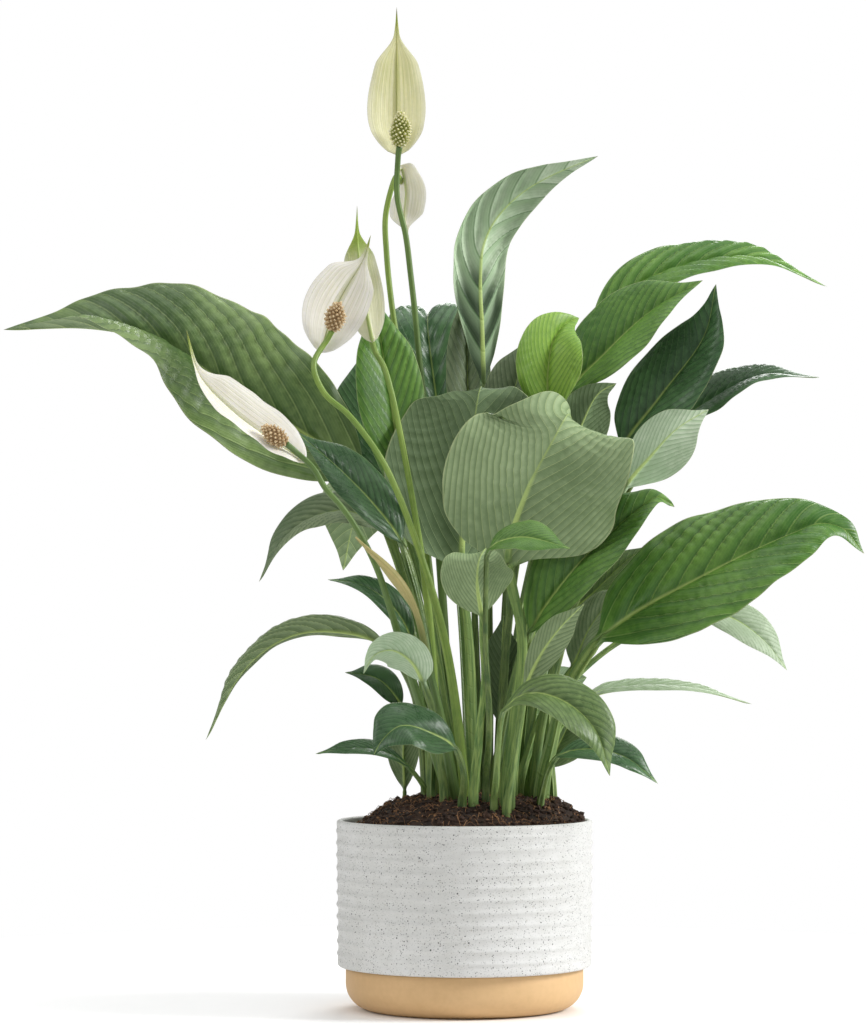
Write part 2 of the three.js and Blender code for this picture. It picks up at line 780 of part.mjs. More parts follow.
leaf('leaf_left_tall_dark', {
  foot: [-6, 30],
  way: [[-14, 45, 231], [-41, 55, 330], [-57, 60, 384], [-64, 62, 436]],
  bladeFrom: 1, width: 62, broadest: 0.5, petiole: 2.4,
  face: [0, -9, 3], faceTip: [0, -9, 3], fold: [10, 10],
});

leaf('leaf_centre_dark', {
  foot: [22, 24],
  way: [[25, 32, 231], [32, 34, 349], [32, 34, 395], [46, 30, 439]],
  bladeFrom: 1, width: 40, broadest: 0.5, petiole: 2.0,
  face: [-3, -9, 1], faceTip: [-3, -9, 1], fold: [12, 12],
});

leaf('leaf_right_pale_drooping', {
  foot: [39, 32],
  way: [
    [64, 48, 204], [117, 58, 243], [150, 60, 256],
    [177, 62, 252], [199, 62, 237], [215, 62, 217],
  ],
  bladeFrom: 2, width: 34, broadest: 0.45, petiole: 1.8,
  face: [2, -8, 6], faceTip: [5, -7, 5], fold: [8, 8],
});

leaf('leaf_right_thin', {
  foot: [44, 16],
  way: [[55, 26, 172], [75, 36, 198], [116, 44, 206], [156, 46, 203], [187, 46, 195]],
  bladeFrom: 1, width: 26, broadest: 0.4, petiole: 1.8,
  face: [0, -2, 9], faceTip: [0, -2, 9], fold: [10, 8],
});

leaf('leaf_right_grey_short', {
  foot: [35, 4],
  way: [[48, 8, 185], [70, 6, 219], [81, 2, 244], [94, -2, 261], [109, -6, 270]],
  bladeFrom: 1, width: 32, broadest: 0.45, petiole: 2.0,
  face: [-5, -8, 3], faceTip: [-4, -7, 5], fold: [12, 10],
});

leaf('leaf_right_slender', {
  foot: [51, 6],
  way: [[53, 2, 199], [63, -4, 245], [87, -6, 270], [108, -6, 290], [123, -6, 299]],
  bladeFrom: 1, width: 30, broadest: 0.45, petiole: 2.0,
  face: [-3, -7, 6], faceTip: [-3, -7, 6], fold: [12, 10],
});

leaf('leaf_front_grey_under', {
  foot: [26, -56],
  way: [[32, -66, 175], [37, -74, 205], [47, -80, 228], [59, -84, 245], [74, -84, 260]],
  bladeFrom: 1, width: 22, broadest: 0.5, petiole: 2.0,
  face: [6, 8, 3], faceTip: [6, 8, 3], fold: [8, 8],
});

leaf('leaf_low_right', {
  foot: [48, -28],
  way: [[52, -36, 152], [58, -44, 163], [79, -52, 168], [101, -58, 163], [121, -60, 147]],
  bladeFrom: 1, width: 28, broadest: 0.45, petiole: 1.8,
  face: [0, -6, 8], faceTip: [4, -6, 6], fold: [10, 10],
});

leaf('leaf_low_right_back', {
  foot: [39, 46],
  way: [[48, 54, 141], [55, 58, 152], [64, 64, 169], [72, 66, 184], [81, 66, 195]],
  bladeFrom: 1, width: 36, broadest: 0.5, petiole: 1.8,
  face: [1, -9, 1], faceTip: [1, -9, 1], fold: [6, 6],
});

leaf('leaf_back_pale_round', {
  foot: [29, 60],
  way: [[43, 78, 160], [55, 86, 184], [64, 90, 200], [73, 91, 209], [83, 88, 212]],
  bladeFrom: 1, width: 34, broadest: 0.5, petiole: 1.8,
  face: [0, 9, 2], faceTip: [0, 9, 2], fold: [6, 6],
});

leaf('leaf_left_drooping', {
  foot: [-20, 22],
  way: [
    [-24, 22, 205], [-32, 22, 264], [-52, 24, 308], [-78, 26, 321],
    [-101, 26, 316], [-117, 24, 303], [-134, 20, 275],
  ],
  bladeFrom: 2, width: 38, broadest: 0.4, petiole: 2.2,
  face: [-2, -4, 9], faceTip: [-8, -4, 6], fold: [14, 12],
});

leaf('leaf_left_small_dark', {
  foot: [-22, -6],
  way: [[-26, -10, 199], [-34, -12, 236], [-47, -14, 259], [-66, -16, 272], [-88, -16, 276]],
  bladeFrom: 1, width: 24, broadest: 0.45, petiole: 1.8,
  face: [2, -6, 8], faceTip: [0, -5, 8], fold: [12, 10],
});

leaf('leaf_left_small_back', {
  foot: [-21, 34],
  way: [[-29, 34, 172], [-41, 30, 194], [-56, 28, 211], [-78, 26, 216]],
  bladeFrom: 1, width: 24, broadest: 0.45, petiole: 1.8,
  face: [-2, -5, 8], faceTip: [-2, -5, 8], fold: [10, 8],
});

leaf('leaf_low_left', {
  foot: [-24, -14],
  way: [[-26, -22, 143], [-36, -30, 156], [-54, -38, 166], [-73, -42, 168], [-95, -44, 165]],
  bladeFrom: 1, width: 22, broadest: 0.45, petiole: 1.6,
  face: [0, -4, 9], faceTip: [0, -4, 9], fold: [10, 8],
});

leaf('leaf_back_left_sprout', {
  foot: [-39, 44],
  way: [[-39, 46, 134], [-39, 46, 138], [-40, 48, 158], [-40, 50, 179], [-44, 52, 196]],
  bladeFrom: 1, width: 22, broadest: 0.5, petiole: 1.4,
  face: [0, 9, 1], faceTip: [0, 9, 1], fold: [6, 6],
});

leaf('leaf_behind_brown', {
  foot: [31, -6],
  way: [[42, 2, 231], [62, 10, 341], [75, 12, 374], [87, 12, 397], [99, 14, 404]],
  bladeFrom: 1, width: 36, broadest: 0.5, petiole: 2.0,
  face: [0, 9, 1], faceTip: [0, 9, 1], fold: [8, 8],
});

leaf('leaf_inner_dark', {
  foot: [23, 8],
  way: [[25, 10, 166], [25, 12, 180], [25, 14, 211], [25, 14, 237], [26, 14, 254]],
  bladeFrom: 1, width: 28, broadest: 0.5, petiole: 2.0,
  face: [0, 9, 0], faceTip: [0, 9, 0], fold: [10, 10],
});

leaf('leaf_back_left', {
  foot: [-16, 44],
  way: [[-24, 58, 220], [-40, 92, 296], [-56, 128, 330], [-74, 172, 322], [-84, 205, 286]],
  bladeFrom: 1, width: 66, broadest: 0.45, petiole: 2.4,
  face: [0, 2, 9], faceTip: [0, 6, 6], fold: [10, 14],
});
leaf('leaf_back_right', {
  foot: [24, 44],
  way: [[34, 62, 230], [52, 92, 312], [72, 126, 352], [96, 165, 350], [112, 198, 318]],
  bladeFrom: 1, width: 64, broadest: 0.45, petiole: 2.4,
  face: [0, 2, 9], faceTip: [1, 6, 6], fold: [10, 14],
});

export default plant;
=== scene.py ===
# %% [markdown]
# # A potted peace lily
# The plant stands in a speckled, ribbed pot on a plain clay base. The solid model that is
# loaded first says where every leaf, stalk and flower is. Each piece is rebuilt here as a
# finer mesh that lies where its solid lies, and the solid stays behind for collisions.
# The scene starts empty, so that nothing but the plant counts towards its size.

import json
import math
import random

import bpy
import numpy as np
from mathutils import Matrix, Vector, noise

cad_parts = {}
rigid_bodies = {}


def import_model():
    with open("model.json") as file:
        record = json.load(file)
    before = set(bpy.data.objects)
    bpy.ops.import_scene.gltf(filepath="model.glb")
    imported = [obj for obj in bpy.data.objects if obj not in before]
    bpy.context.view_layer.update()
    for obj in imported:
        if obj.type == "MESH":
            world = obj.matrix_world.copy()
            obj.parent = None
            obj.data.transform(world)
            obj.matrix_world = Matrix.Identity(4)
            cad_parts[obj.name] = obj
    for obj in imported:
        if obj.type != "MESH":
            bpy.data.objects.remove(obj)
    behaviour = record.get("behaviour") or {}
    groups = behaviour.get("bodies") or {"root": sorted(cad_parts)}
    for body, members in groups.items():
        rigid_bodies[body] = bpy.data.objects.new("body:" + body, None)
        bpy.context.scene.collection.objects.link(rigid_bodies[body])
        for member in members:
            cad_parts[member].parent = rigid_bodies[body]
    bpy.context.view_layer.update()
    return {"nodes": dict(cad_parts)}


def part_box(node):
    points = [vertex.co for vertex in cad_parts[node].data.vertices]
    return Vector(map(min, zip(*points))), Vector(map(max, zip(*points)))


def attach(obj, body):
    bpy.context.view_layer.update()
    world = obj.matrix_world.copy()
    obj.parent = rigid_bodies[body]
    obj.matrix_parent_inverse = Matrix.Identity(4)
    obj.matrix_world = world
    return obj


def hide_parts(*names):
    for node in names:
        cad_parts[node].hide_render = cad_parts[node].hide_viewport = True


for stray in list(bpy.data.objects):
    bpy.data.objects.remove(stray)
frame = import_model()
BODY = "root"
MM = 0.001
print("nodes in the frame:", len(frame["nodes"]))

# %% [markdown]
# ## Small helpers
# Colours are easier to judge as they look on a screen, so they are written as 0 to 255 and
# turned into the linear values that the shader wants. Stalks, pot and mix are rings of points
# with a wall of faces between them and a cap of triangles at each end. Every piece is made in
# the same way: points and faces become a mesh, it takes its materials, rides on the plant's
# one body and stands in for its solid.

# %% Helpers
def tint(red, green, blue):
    def linear(value):
        share = value / 255
        return share / 12.92 if share <= 0.04045 else ((share + 0.055) / 1.055) ** 2.4

    return (linear(red), linear(green), linear(blue), 1.0)


def smooth(value, low, high):
    share = np.clip((value - low) / (high - low), 0, 1)
    return share * share * (3 - 2 * share)


def walls(first, rings, turns, turned_over=False):
    faces = []
    for i in range(rings):
        a, b = first + i * turns, first + (i + 1) * turns
        for j in range(turns):
            k = (j + 1) % turns
            face = (a + j, a + k, b + k, b + j)
            faces.append(face[:1] + face[:0:-1] if turned_over else face)
    return faces


def cap(pole, first, turns, turned_over=False):
    pairs = [(first + j, first + (j + 1) % turns) for j in range(turns)]
    return [(pole, b, a) if turned_over else (pole, a, b) for a, b in pairs]


def make_piece(name, points, faces, materials, nodes, face_materials=None):
    mesh = bpy.data.meshes.new(name)
    mesh.from_pydata(points, [], faces)
    for material in materials:
        mesh.materials.append(material)
    if face_materials is not None:
        mesh.polygons.foreach_set("material_index", face_materials)
    mesh.polygons.foreach_set("use_smooth", [True] * len(mesh.polygons))
    mesh.update()
    piece = bpy.data.objects.new(name, mesh)
    bpy.context.collection.objects.link(piece)
    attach(piece, BODY)
    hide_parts(*nodes)
    return piece


# %% [markdown]
# ## Shader helpers
# A material is a small chain of nodes. These helpers add a node, link it and set its values,
# so that each material below reads as a list of what it mixes.

# %% Shader helpers
def feed(tree, node, links):
    for socket, source in links.items():
        target = node.inputs[socket]
        if isinstance(source, bpy.types.NodeSocket):
            tree.links.new(source, target)
        else:
            target.default_value = source
    return node.outputs


def add_node(tree, kind, links=None, **values):
    node = tree.nodes.new(kind)
    for key, value in values.items():
        setattr(node, key, value)
    feed(tree, node, links or {})
    return node


def maths(tree, operation, first, second=0.0, third=0.0):
    links = {0: first, 1: second, 2: third}
    return add_node(tree, "ShaderNodeMath", links, operation=operation).outputs[0]


def times(tree, first, second):
    return maths(tree, "MULTIPLY", first, second)


def times_plus(tree, first, second, third):
    return maths(tree, "MULTIPLY_ADD", first, second, third)


def blend(tree, share, first, second):
    # A Mix node has a set of sockets for each kind of data; 6, 7 and output 2 are its colours.
    links = {0: share, 6: first, 7: second}
    return add_node(tree, "ShaderNodeMix", links, data_type="RGBA").outputs[2]


def step(tree, value, low, high):
    links = {0: value, 1: low, 2: high}
    kind = "ShaderNodeMapRange"
    return add_node(tree, kind, links, interpolation_type="SMOOTHSTEP").outputs[0]


def noise_at(tree, scale, detail=3.0, vector=None, roughness=0.5):
    if vector is None:
        vector = add_node(tree, "ShaderNodeTexCoord").outputs["Object"]
    links = {"Vector": vector, "Scale": scale, "Detail": detail, "Roughness": roughness}
    return add_node(tree, "ShaderNodeTexNoise", links).outputs["Fac"]


def new_material(name):
    material = bpy.data.materials.new(name)
    material.use_nodes = True
    tree = material.node_tree
    tree.nodes.clear()
    out = tree.nodes.new("ShaderNodeOutputMaterial")
    shader = tree.nodes.new("ShaderNodeBsdfPrincipled")
    tree.links.new(shader.outputs[0], out.inputs[0])
    return material, tree, shader


def bump(tree, shader, height, strength, distance):
    links = {"Height": height, "Strength": strength, "Distance": distance}
    tree.links.new(add_node(tree, "ShaderNodeBump", links).outputs[0], shader.inputs["Normal"])


def surface(tree, shader, colour, cloud, uneven, roughness, more=None):
    gloss = times_plus(tree, cloud, uneven, roughness)
    feed(tree, shader, {"Base Color": colour, "Roughness": gloss, **(more or {})})


def new_group(name, inputs, outputs):
    tree = bpy.data.node_groups.new(name, "ShaderNodeTree")
    for title, kind, start in inputs:
        socket = tree.interface.new_socket(name=title, in_out="INPUT", socket_type=kind)
        if start is not None:
            socket.default_value = start
    for title, kind in outputs:
        tree.interface.new_socket(name=title, in_out="OUTPUT", socket_type=kind)
    source = tree.nodes.new("NodeGroupInput").outputs
    sink = tree.nodes.new("NodeGroupOutput").inputs
    return tree, source, sink


FLOAT = "NodeSocketFloat"
VECTOR = "NodeSocketVector"


def use_group(tree, group, **values):
    return feed(tree, add_node(tree, "ShaderNodeGroup", node_tree=group), values)


# %% [markdown]
# ## Veins as a shared effect
# A peace lily's side veins leave the midrib at a slant and bend towards the leaf's tip, until
# they run nearly along the margin. Each leaf carries a map of two numbers: how far a point is
# from the midrib, and the count of veins up to the one through that point. A repeating line
# across the second number draws all the veins, and finer ones between them, and a ramp from
# one vein to the next gives the painted shade on each pillow between them. The mesh uses the
# same count for its real quilting, so the painted shade and the shape agree. A texture could
# be painted instead, but lines made from a formula stay sharp.

# %% Group: pinnate veins
VEIN_SLANT = 1.3
VEIN_BEND = 0.85


def vein_start(x, along, broadest_half):
    return along - VEIN_SLANT * x - VEIN_BEND * x * x / broadest_half


veins, given, put = new_group(
    "pinnate veins",
    [("Map", VECTOR, None), ("Width", FLOAT, 0.07), ("Wander", FLOAT, 0.14)],
    [("Main", FLOAT), ("Fine", FLOAT), ("PillowShade", FLOAT)],
)
split = add_node(veins, "ShaderNodeSeparateXYZ", {0: given["Map"]})
waver = noise_at(veins, 24.0, 1.0)
along = times_plus(veins, waver, given["Wander"], split.outputs[1])
for title, count, wide in (("Main", 1.0, 1.0), ("Fine", 6.0, 3.0)):
    phase = times(veins, along, count)
    turn = maths(veins, "FRACT", phase)
    near = maths(veins, "ABSOLUTE", maths(veins, "SUBTRACT", turn, 0.5))
    off = maths(veins, "SUBTRACT", 0.5, near)
    line = step(veins, off, 0.0, times(veins, given["Width"], wide))
    veins.links.new(maths(veins, "SUBTRACT", 1.0, line), put[title])
    if title == "Main":
        # 0 beside the vein on the stem's side, rising to 1 just before the next vein; the leaves
        # paint shade across each pillow with it.
        veins.links.new(turn, put["PillowShade"])
print("group", veins.name, "ready")

# %% [markdown]
# ## Mottling and streaks as shared effects
# No part of a plant is one colour. Mottling mixes a broad cloud with a fine one and returns a
# shift around a half, for any material that needs uneven colour or uneven gloss. Streaks are
# the fibres that run lengthwise in stalks, spathes and the stems of leaves: noise that is
# stretched along one direction of the map.

# %% Groups: mottling and streaks
mottling, given, put = new_group(
    "mottling",
    [("Broad", FLOAT, 18.0), ("Small", FLOAT, 160.0), ("Share", FLOAT, 0.35)],
    [("Value", FLOAT)],
)
clouds = noise_at(mottling, given["Broad"], 2.0)
grit = noise_at(mottling, given["Small"], 4.0)
mixed = add_node(mottling, "ShaderNodeMix", {0: given["Share"], 2: clouds, 3: grit})
mottling.links.new(step(mottling, mixed.outputs[0], 0.3, 0.7), put["Value"])

streaks, given, put = new_group(
    "lengthwise streaks",
    [("Map", VECTOR, None), ("Across", FLOAT, 900.0), ("Along", FLOAT, 25.0)],
    [("Value", FLOAT)],
)
split = add_node(streaks, "ShaderNodeSeparateXYZ", {0: given["Map"]})
scaled = {
    0: times(streaks, split.outputs[0], given["Across"]),
    1: times(streaks, split.outputs[1], given["Along"]),
}
stretched = add_node(streaks, "ShaderNodeCombineXYZ", scaled)
threads = noise_at(streaks, 1.0, 3.0, stretched.outputs[0])
streaks.links.new(step(streaks, threads, 0.32, 0.68), put["Value"])


def mottled(tree, broad, small, share):
    return use_group(tree, mottling, Broad=broad, Small=small, Share=share)["Value"]


def streaked(tree, place, across, along):
    return use_group(tree, streaks, Map=place, Across=across, Along=along)["Value"]


print("groups", mottling.name, "and", streaks.name, "ready")

# %% [markdown]
# ## Leaf finishes
# The upper side of a leaf is a waxy green with sunken veins. The underside is paler, greyer
# and matt, with raised veins that are lighter than the blade. On both, the midrib and the
# stem are yellow-green, and a hair-thin pale line runs round the margin. Both are made by one
# function, because they differ only in their values. The mesh carries how much each point
# belongs to the stem and to the margin, and a tone that differs from leaf to leaf.

# %% Leaf material
STEM_LIGHT = tint(140, 164, 88)
STEM_DARK = tint(84, 118, 58)
MARGIN = tint(196, 208, 150)
MIDRIB = tint(176, 198, 112)
DRY_TIP = tint(112, 96, 60)
# Painted shade for the inside of a fold in the blade.
FOLD_SHADE = tint(72, 94, 66)


def leaf_material(name, blade, deep, vein, roughness, coat, shown, relief, folded):
    material, tree, shader = new_material(name)
    vein_map = add_node(tree, "ShaderNodeUVMap", uv_map="vein_map").outputs[0]
    marks = add_node(tree, "ShaderNodeAttribute", attribute_name="blade").outputs["Vector"]
    across, share, stem = add_node(tree, "ShaderNodeSeparateXYZ", {0: marks}).outputs[:]
    tone = add_node(tree, "ShaderNodeAttribute", attribute_name="tone").outputs["Fac"]
    lines = use_group(tree, veins, Map=vein_map)
    cloud = mottled(tree, 14.0, 210.0, 0.3)
    fibre = streaked(tree, vein_map, 1500.0, 0.35)
    # The blade: mottled, with painted shade on each pillow between the veins, and lighter or darker
    # from leaf to leaf.
    colour = blend(tree, cloud, deep, blade)
    if folded:
        # Painted shade: the lower third, where the blade is folded shut, is painted dull and dark
        # as the shade inside the fold.
        below = times_plus(tree, across, 0.12, share)
        colour = blend(tree, step(tree, below, 0.36, 0.5), folded, colour)
    # Painted shade: each pillow between the veins darkens towards the next vein.
    pillow_shade = times(tree, step(tree, lines["PillowShade"], 0.25, 0.95), 0.75)
    colour = blend(tree, pillow_shade, colour, deep)
    lit = times_plus(tree, tone, 0.5, 0.75)
    value = add_node(tree, "ShaderNodeHueSaturation", {"Value": lit, "Color": colour})
    colour = value.outputs[0]
    colour = blend(tree, times(tree, lines["Fine"], 0.25 * shown), colour, vein)
    colour = blend(tree, times(tree, lines["Main"], shown), colour, vein)
    # The stem and midrib, streaked, and the pale margin.
    rib = blend(tree, fibre, STEM_DARK, STEM_LIGHT)
    dim = times_plus(tree, tone, 1.1, 0.3)
    rib = add_node(tree, "ShaderNodeHueSaturation", {"Value": dim, "Color": rib}).outputs[0]
    rib = blend(tree, step(tree, share, 0.01, 0.1), rib, MIDRIB)
    colour = blend(tree, stem, colour, rib)
    rim = times(tree, step(tree, across, 0.975, 1.0), 0.5)
    rim = times(tree, rim, maths(tree, "SUBTRACT", 1.0, stem))
    colour = blend(tree, rim, colour, MARGIN)
    # The very tip dries to a dull brown.
    dry = times(tree, step(tree, share, 0.985, 1.0), 0.7)
    colour = blend(tree, dry, colour, DRY_TIP)
    wax = {"Coat Weight": times(tree, cloud, coat), "Coat Roughness": 0.3}
    wax["Specular IOR Level"] = 0.45
    surface(tree, shader, colour, cloud, 0.16, roughness - 0.08, wax)
    raised = times(tree, lines["Main"], relief)
    height = times_plus(tree, lines["Fine"], 0.3 * relief, raised)
    height = times_plus(tree, cloud, 0.25, height)
    bump(tree, shader, height, 0.55, 0.0004)
    return material


LEAF_COLOURS = {
    # name: blade, deep green for mottling and for the painted shade between the veins, vein,
    # roughness, coat, how much veins show
    "leaf_upper": ((122, 148, 82), (62, 90, 42), (168, 188, 118), 0.42, 0.2, 0.3),
    # The two dark finishes: partly the deeper green of old leaves, partly painted shade inside the
    # plant.
    "leaf_upper_dark": ((86, 130, 76), (36, 72, 36), (138, 174, 120), 0.33, 0.4, 0.3),
    "leaf_upper_bright": ((112, 156, 60), (52, 98, 28), (164, 192, 104), 0.42, 0.2, 0.3),
    "leaf_upper_lime": ((156, 198, 72), (100, 148, 38), (200, 220, 134), 0.45, 0.2, 0.35),
    "leaf_upper_grey": ((142, 158, 120), (84, 106, 70), (174, 188, 150), 0.5, 0.12, 0.35),
    "leaf_upper_pale": ((182, 198, 170), (130, 152, 116), (204, 214, 188), 0.52, 0.1, 0.35),
    "leaf_under": ((152, 172, 128), (96, 120, 76), (186, 202, 138), 0.6, 0.04, 0.55),
    "leaf_under_pale": ((226, 240, 214), (172, 200, 158), (104, 142, 92), 0.58, 0.04, 0.7),
    "leaf_under_dark": ((112, 134, 94), (68, 92, 54), (154, 174, 118), 0.6, 0.04, 0.5),
    # This underside has painted shade over its lower third, where the blade is folded shut.
    "leaf_under_folded": ((226, 240, 214), (172, 200, 158), (104, 142, 92), 0.58, 0.04, 0.7),
}
finish_of = {}
for name, (blade, deep, vein, *gloss) in LEAF_COLOURS.items():
    relief = 1.0 if "under" in name else -1.0
    # Only the folded underside gets the painted fold shade.
    folded = FOLD_SHADE if "folded" in name else None
    colours = (tint(*blade), tint(*deep), tint(*vein))
    finish_of[name] = leaf_material(name, *colours, *gloss, relief, folded)
print("leaf finishes:", [m.name for m in bpy.data.materials if m.name.startswith("leaf_")])

# %% [markdown]
# ## Reading a leaf's shape from its solid
# A leaf's solid is a skin over rings of eight corners: midrib, half blade and margin on each
# side, above and below. Its mesh no longer says which corner is which, but the way that its
# triangles join does. Walking from the pole in the stem's foot gives the rings in order, and
# a margin is the corner that joins only one corner of the next ring. From each ring come six
# curves: two margins, two half blades, the midrib and the keel.

# %% Rings of a solid
def welded(node):
    mesh = frame["nodes"][node].data
    spots = np.empty(len(mesh.vertices) * 3)
    mesh.vertices.foreach_get("co", spots)
    points, back = np.unique(np.round(spots.reshape(-1, 3), 6), axis=0, return_inverse=True)
    back = back.ravel()
    joined = [set() for _ in points]
    for face in mesh.polygons:
        corners = [int(back[v]) for v in face.vertices]
        for corner in corners:
            joined[corner].update(c for c in corners if c != corner)
    return points, joined


def rings_of(node, sides, near):
    points, joined = welded(node)
    found = []
    for pole, others in enumerate(joined):
        if len(others) != sides:
            continue
        rows = [[pole]]
        seen = {pole}
        while True:
            following = sorted({w for v in rows[-1] for w in joined[v]} - seen)
            if not following:
                break
            seen.update(following)
            rows.append(following)
        whole = all(len(row) == sides for row in rows[1:-1])
        if whole and len(rows[-1]) == 1 and len(rows) > 3:
            found.append((float(np.linalg.norm(points[pole] - near)), rows))
    rows = min(found, key=lambda entry: entry[0])[1]
    return points, joined, rows


def leaf_curves(node, near, inner=None):
    points, joined, rows = rings_of(node, 8, near)
    rings = rows[1:-1]
    after = set(rings[1])
    margin = next(v for v in rings[0] if len(joined[v] & after) == 1)
    beside = min(joined[margin] & set(rings[0]))
    orders = []
    for k, ring in enumerate(rings):
        members = set(ring)
        if k:
            margin = next(iter(joined[margin] & members))
            beside = next(iter(joined[beside] & joined[margin] & members))
        order = [margin, beside]
        while len(order) < 8:
            order.append(next(v for v in joined[order[-1]] & members if v not in order))
        orders.append(order)
    corners = points[np.array(orders)]
    if inner is None:
        middle = corners.mean(axis=1, keepdims=True)
        gaps = np.linalg.norm(corners - middle, axis=2)[:3].sum(axis=0)
    else:
        gaps = np.linalg.norm(corners - inner, axis=2).sum(axis=0)
    if gaps[6] < gaps[2]:
        corners = np.roll(corners, -4, axis=1)
    lead = corners[1:, 2] - corners[:-1, 2]
    width = corners[:-1, 4] - corners[:-1, 0]
    face = corners[:-1, 2] - corners[:-1, 6]
    if (np.cross(width, lead) * face).sum() < 0:
        corners = corners[:, [4, 3, 2, 1, 0, 7, 6, 5]]
    curves = np.stack(
        [
            corners[:, 0],
            (corners[:, 1] + corners[:, 7]) / 2,
            corners[:, 2],
            (corners[:, 3] + corners[:, 5]) / 2,
            corners[:, 4],
            corners[:, 6],
        ],
        axis=1,
    )
    return curves, points[rows[0][0]], points[rows[-1][0]]


UNEVEN = 0.9                # logarithm of the ratio of two neighbouring gaps


def spline(knots, values, at):
    slopes = np.gradient(values, knots, axis=0)
    # Where a short gap meets a long one, the harmonic mean of the two slopes never overshoots.
    gaps = np.diff(knots).reshape((-1,) + (1,) * (values.ndim - 1))
    secants = np.diff(values, axis=0) / gaps
    before, after = secants[:-1], secants[1:]
    mean = 2 * before * after / np.where(before + after == 0, 1, before + after)
    uneven = np.abs(np.log(gaps[1:] / gaps[:-1])) > UNEVEN
    slopes[1:-1] = np.where(uneven, np.where(before * after > 0, mean, 0), slopes[1:-1])
    i = np.clip(np.searchsorted(knots, at, side="right") - 1, 0, len(knots) - 2)
    gap = (knots[i + 1] - knots[i]).reshape((-1,) + (1,) * (values.ndim - 1))
    u = ((at - knots[i]) / (knots[i + 1] - knots[i])).reshape(gap.shape)
    low = values[i] * (1 + 2 * u) * (1 - u) ** 2 + slopes[i] * gap * u * (1 - u) ** 2
    high = values[i + 1] * u * u * (3 - 2 * u) + slopes[i + 1] * gap * u * u * (u - 1)
    return low + high


# %% [markdown]
# ## Growing a leaf
# The six curves are splined along the leaf, and a curved half blade is drawn through margin,
# half blade and midrib on each side. That gives one thin sheet. Each side of the leaf is the
# sheet moved out by half its thickness, the underside swells into the midrib's keel, and
# in the stem, which has no blade, the same rule gives a channelled D-shaped rod. Quilting
# between the veins and the waves of the margin move both sides together, so they are real
# shape and not only shading.

# %% Grow a leaf
# Columns from the midrib to the margin, closer where the rib and the rim are round.
ACROSS = np.array(
    [0, 0.015, 0.03, 0.05, 0.08, 0.12, 0.18, 0.26, 0.34, 0.42]
    + [0.5, 0.58, 0.66, 0.74, 0.82, 0.89, 0.95, 0.985, 1]
)
HALF_BLADE = 0.55           # where the solid's half blade bends, from midrib to margin
SINK = 9 * MM               # how far a stem runs into the mix
LAMINA = 0.5 * MM
STEM_RINGS = 5              # a solid's rings before its blade, and the sunk one
STEM_SLIM = 0.2             # how much slimmer a stem is than its solid
STEM_END = 0.05             # share of the blade over which the stem's shape fades
RIB_SLIM = 0.6              # width of a blade's rib beside its keel's depth
NECK = 0.12                 # a spathe's closed neck, as a share of its first ring
ROW_SPACING = 1.7 * MM
STEM_SPACING = 5 * MM
LAST_ROW = 0.997            # the last row's share of the blade; the tip is one point
TIP_CROWDING = 0.97
TIP_CURVES = 6
THINNEST = 0.02 * MM


def sheet_between(rows):
    sides = []
    u = ACROSS[None, :, None]
    for edge, middle in ((0, 1), (4, 3)):
        rib_part = (u - HALF_BLADE) * (u - 1) / HALF_BLADE
        mid_part = u * (u - 1) / (HALF_BLADE * (HALF_BLADE - 1))
        rim_part = u * (u - HALF_BLADE) / (1 - HALF_BLADE)
        side = rows[:, None, 2] * rib_part + rows[:, None, middle] * mid_part
        sides.append(side + rows[:, None, edge] * rim_part)
    return np.concatenate([sides[0][:, :0:-1], sides[1]], axis=1)


def unit(vectors):
    return vectors / np.maximum(np.linalg.norm(vectors, axis=-1, keepdims=True), 1e-12)


def write_map(mesh, place):
    loops = np.empty(len(mesh.loops), int)
    mesh.loops.foreach_get("vertex_index", loops)
    mesh.uv_layers.new(name="vein_map").data.foreach_set("uv", place[loops].ravel())


def narrowed(rows, curves, factor):
    for curve in curves:
        rows[:, curve] = rows[:, 2] + (rows[:, curve] - rows[:, 2]) * factor[:, None]


def quads(index, flip):
    a, b = index[:-1, :-1], index[:-1, 1:]
    c, d = index[1:, 1:], index[1:, :-1]
    stack = (a, d, c, b) if flip else (a, b, c, d)
    return np.stack(stack, axis=-1).reshape(-1, 4).tolist()


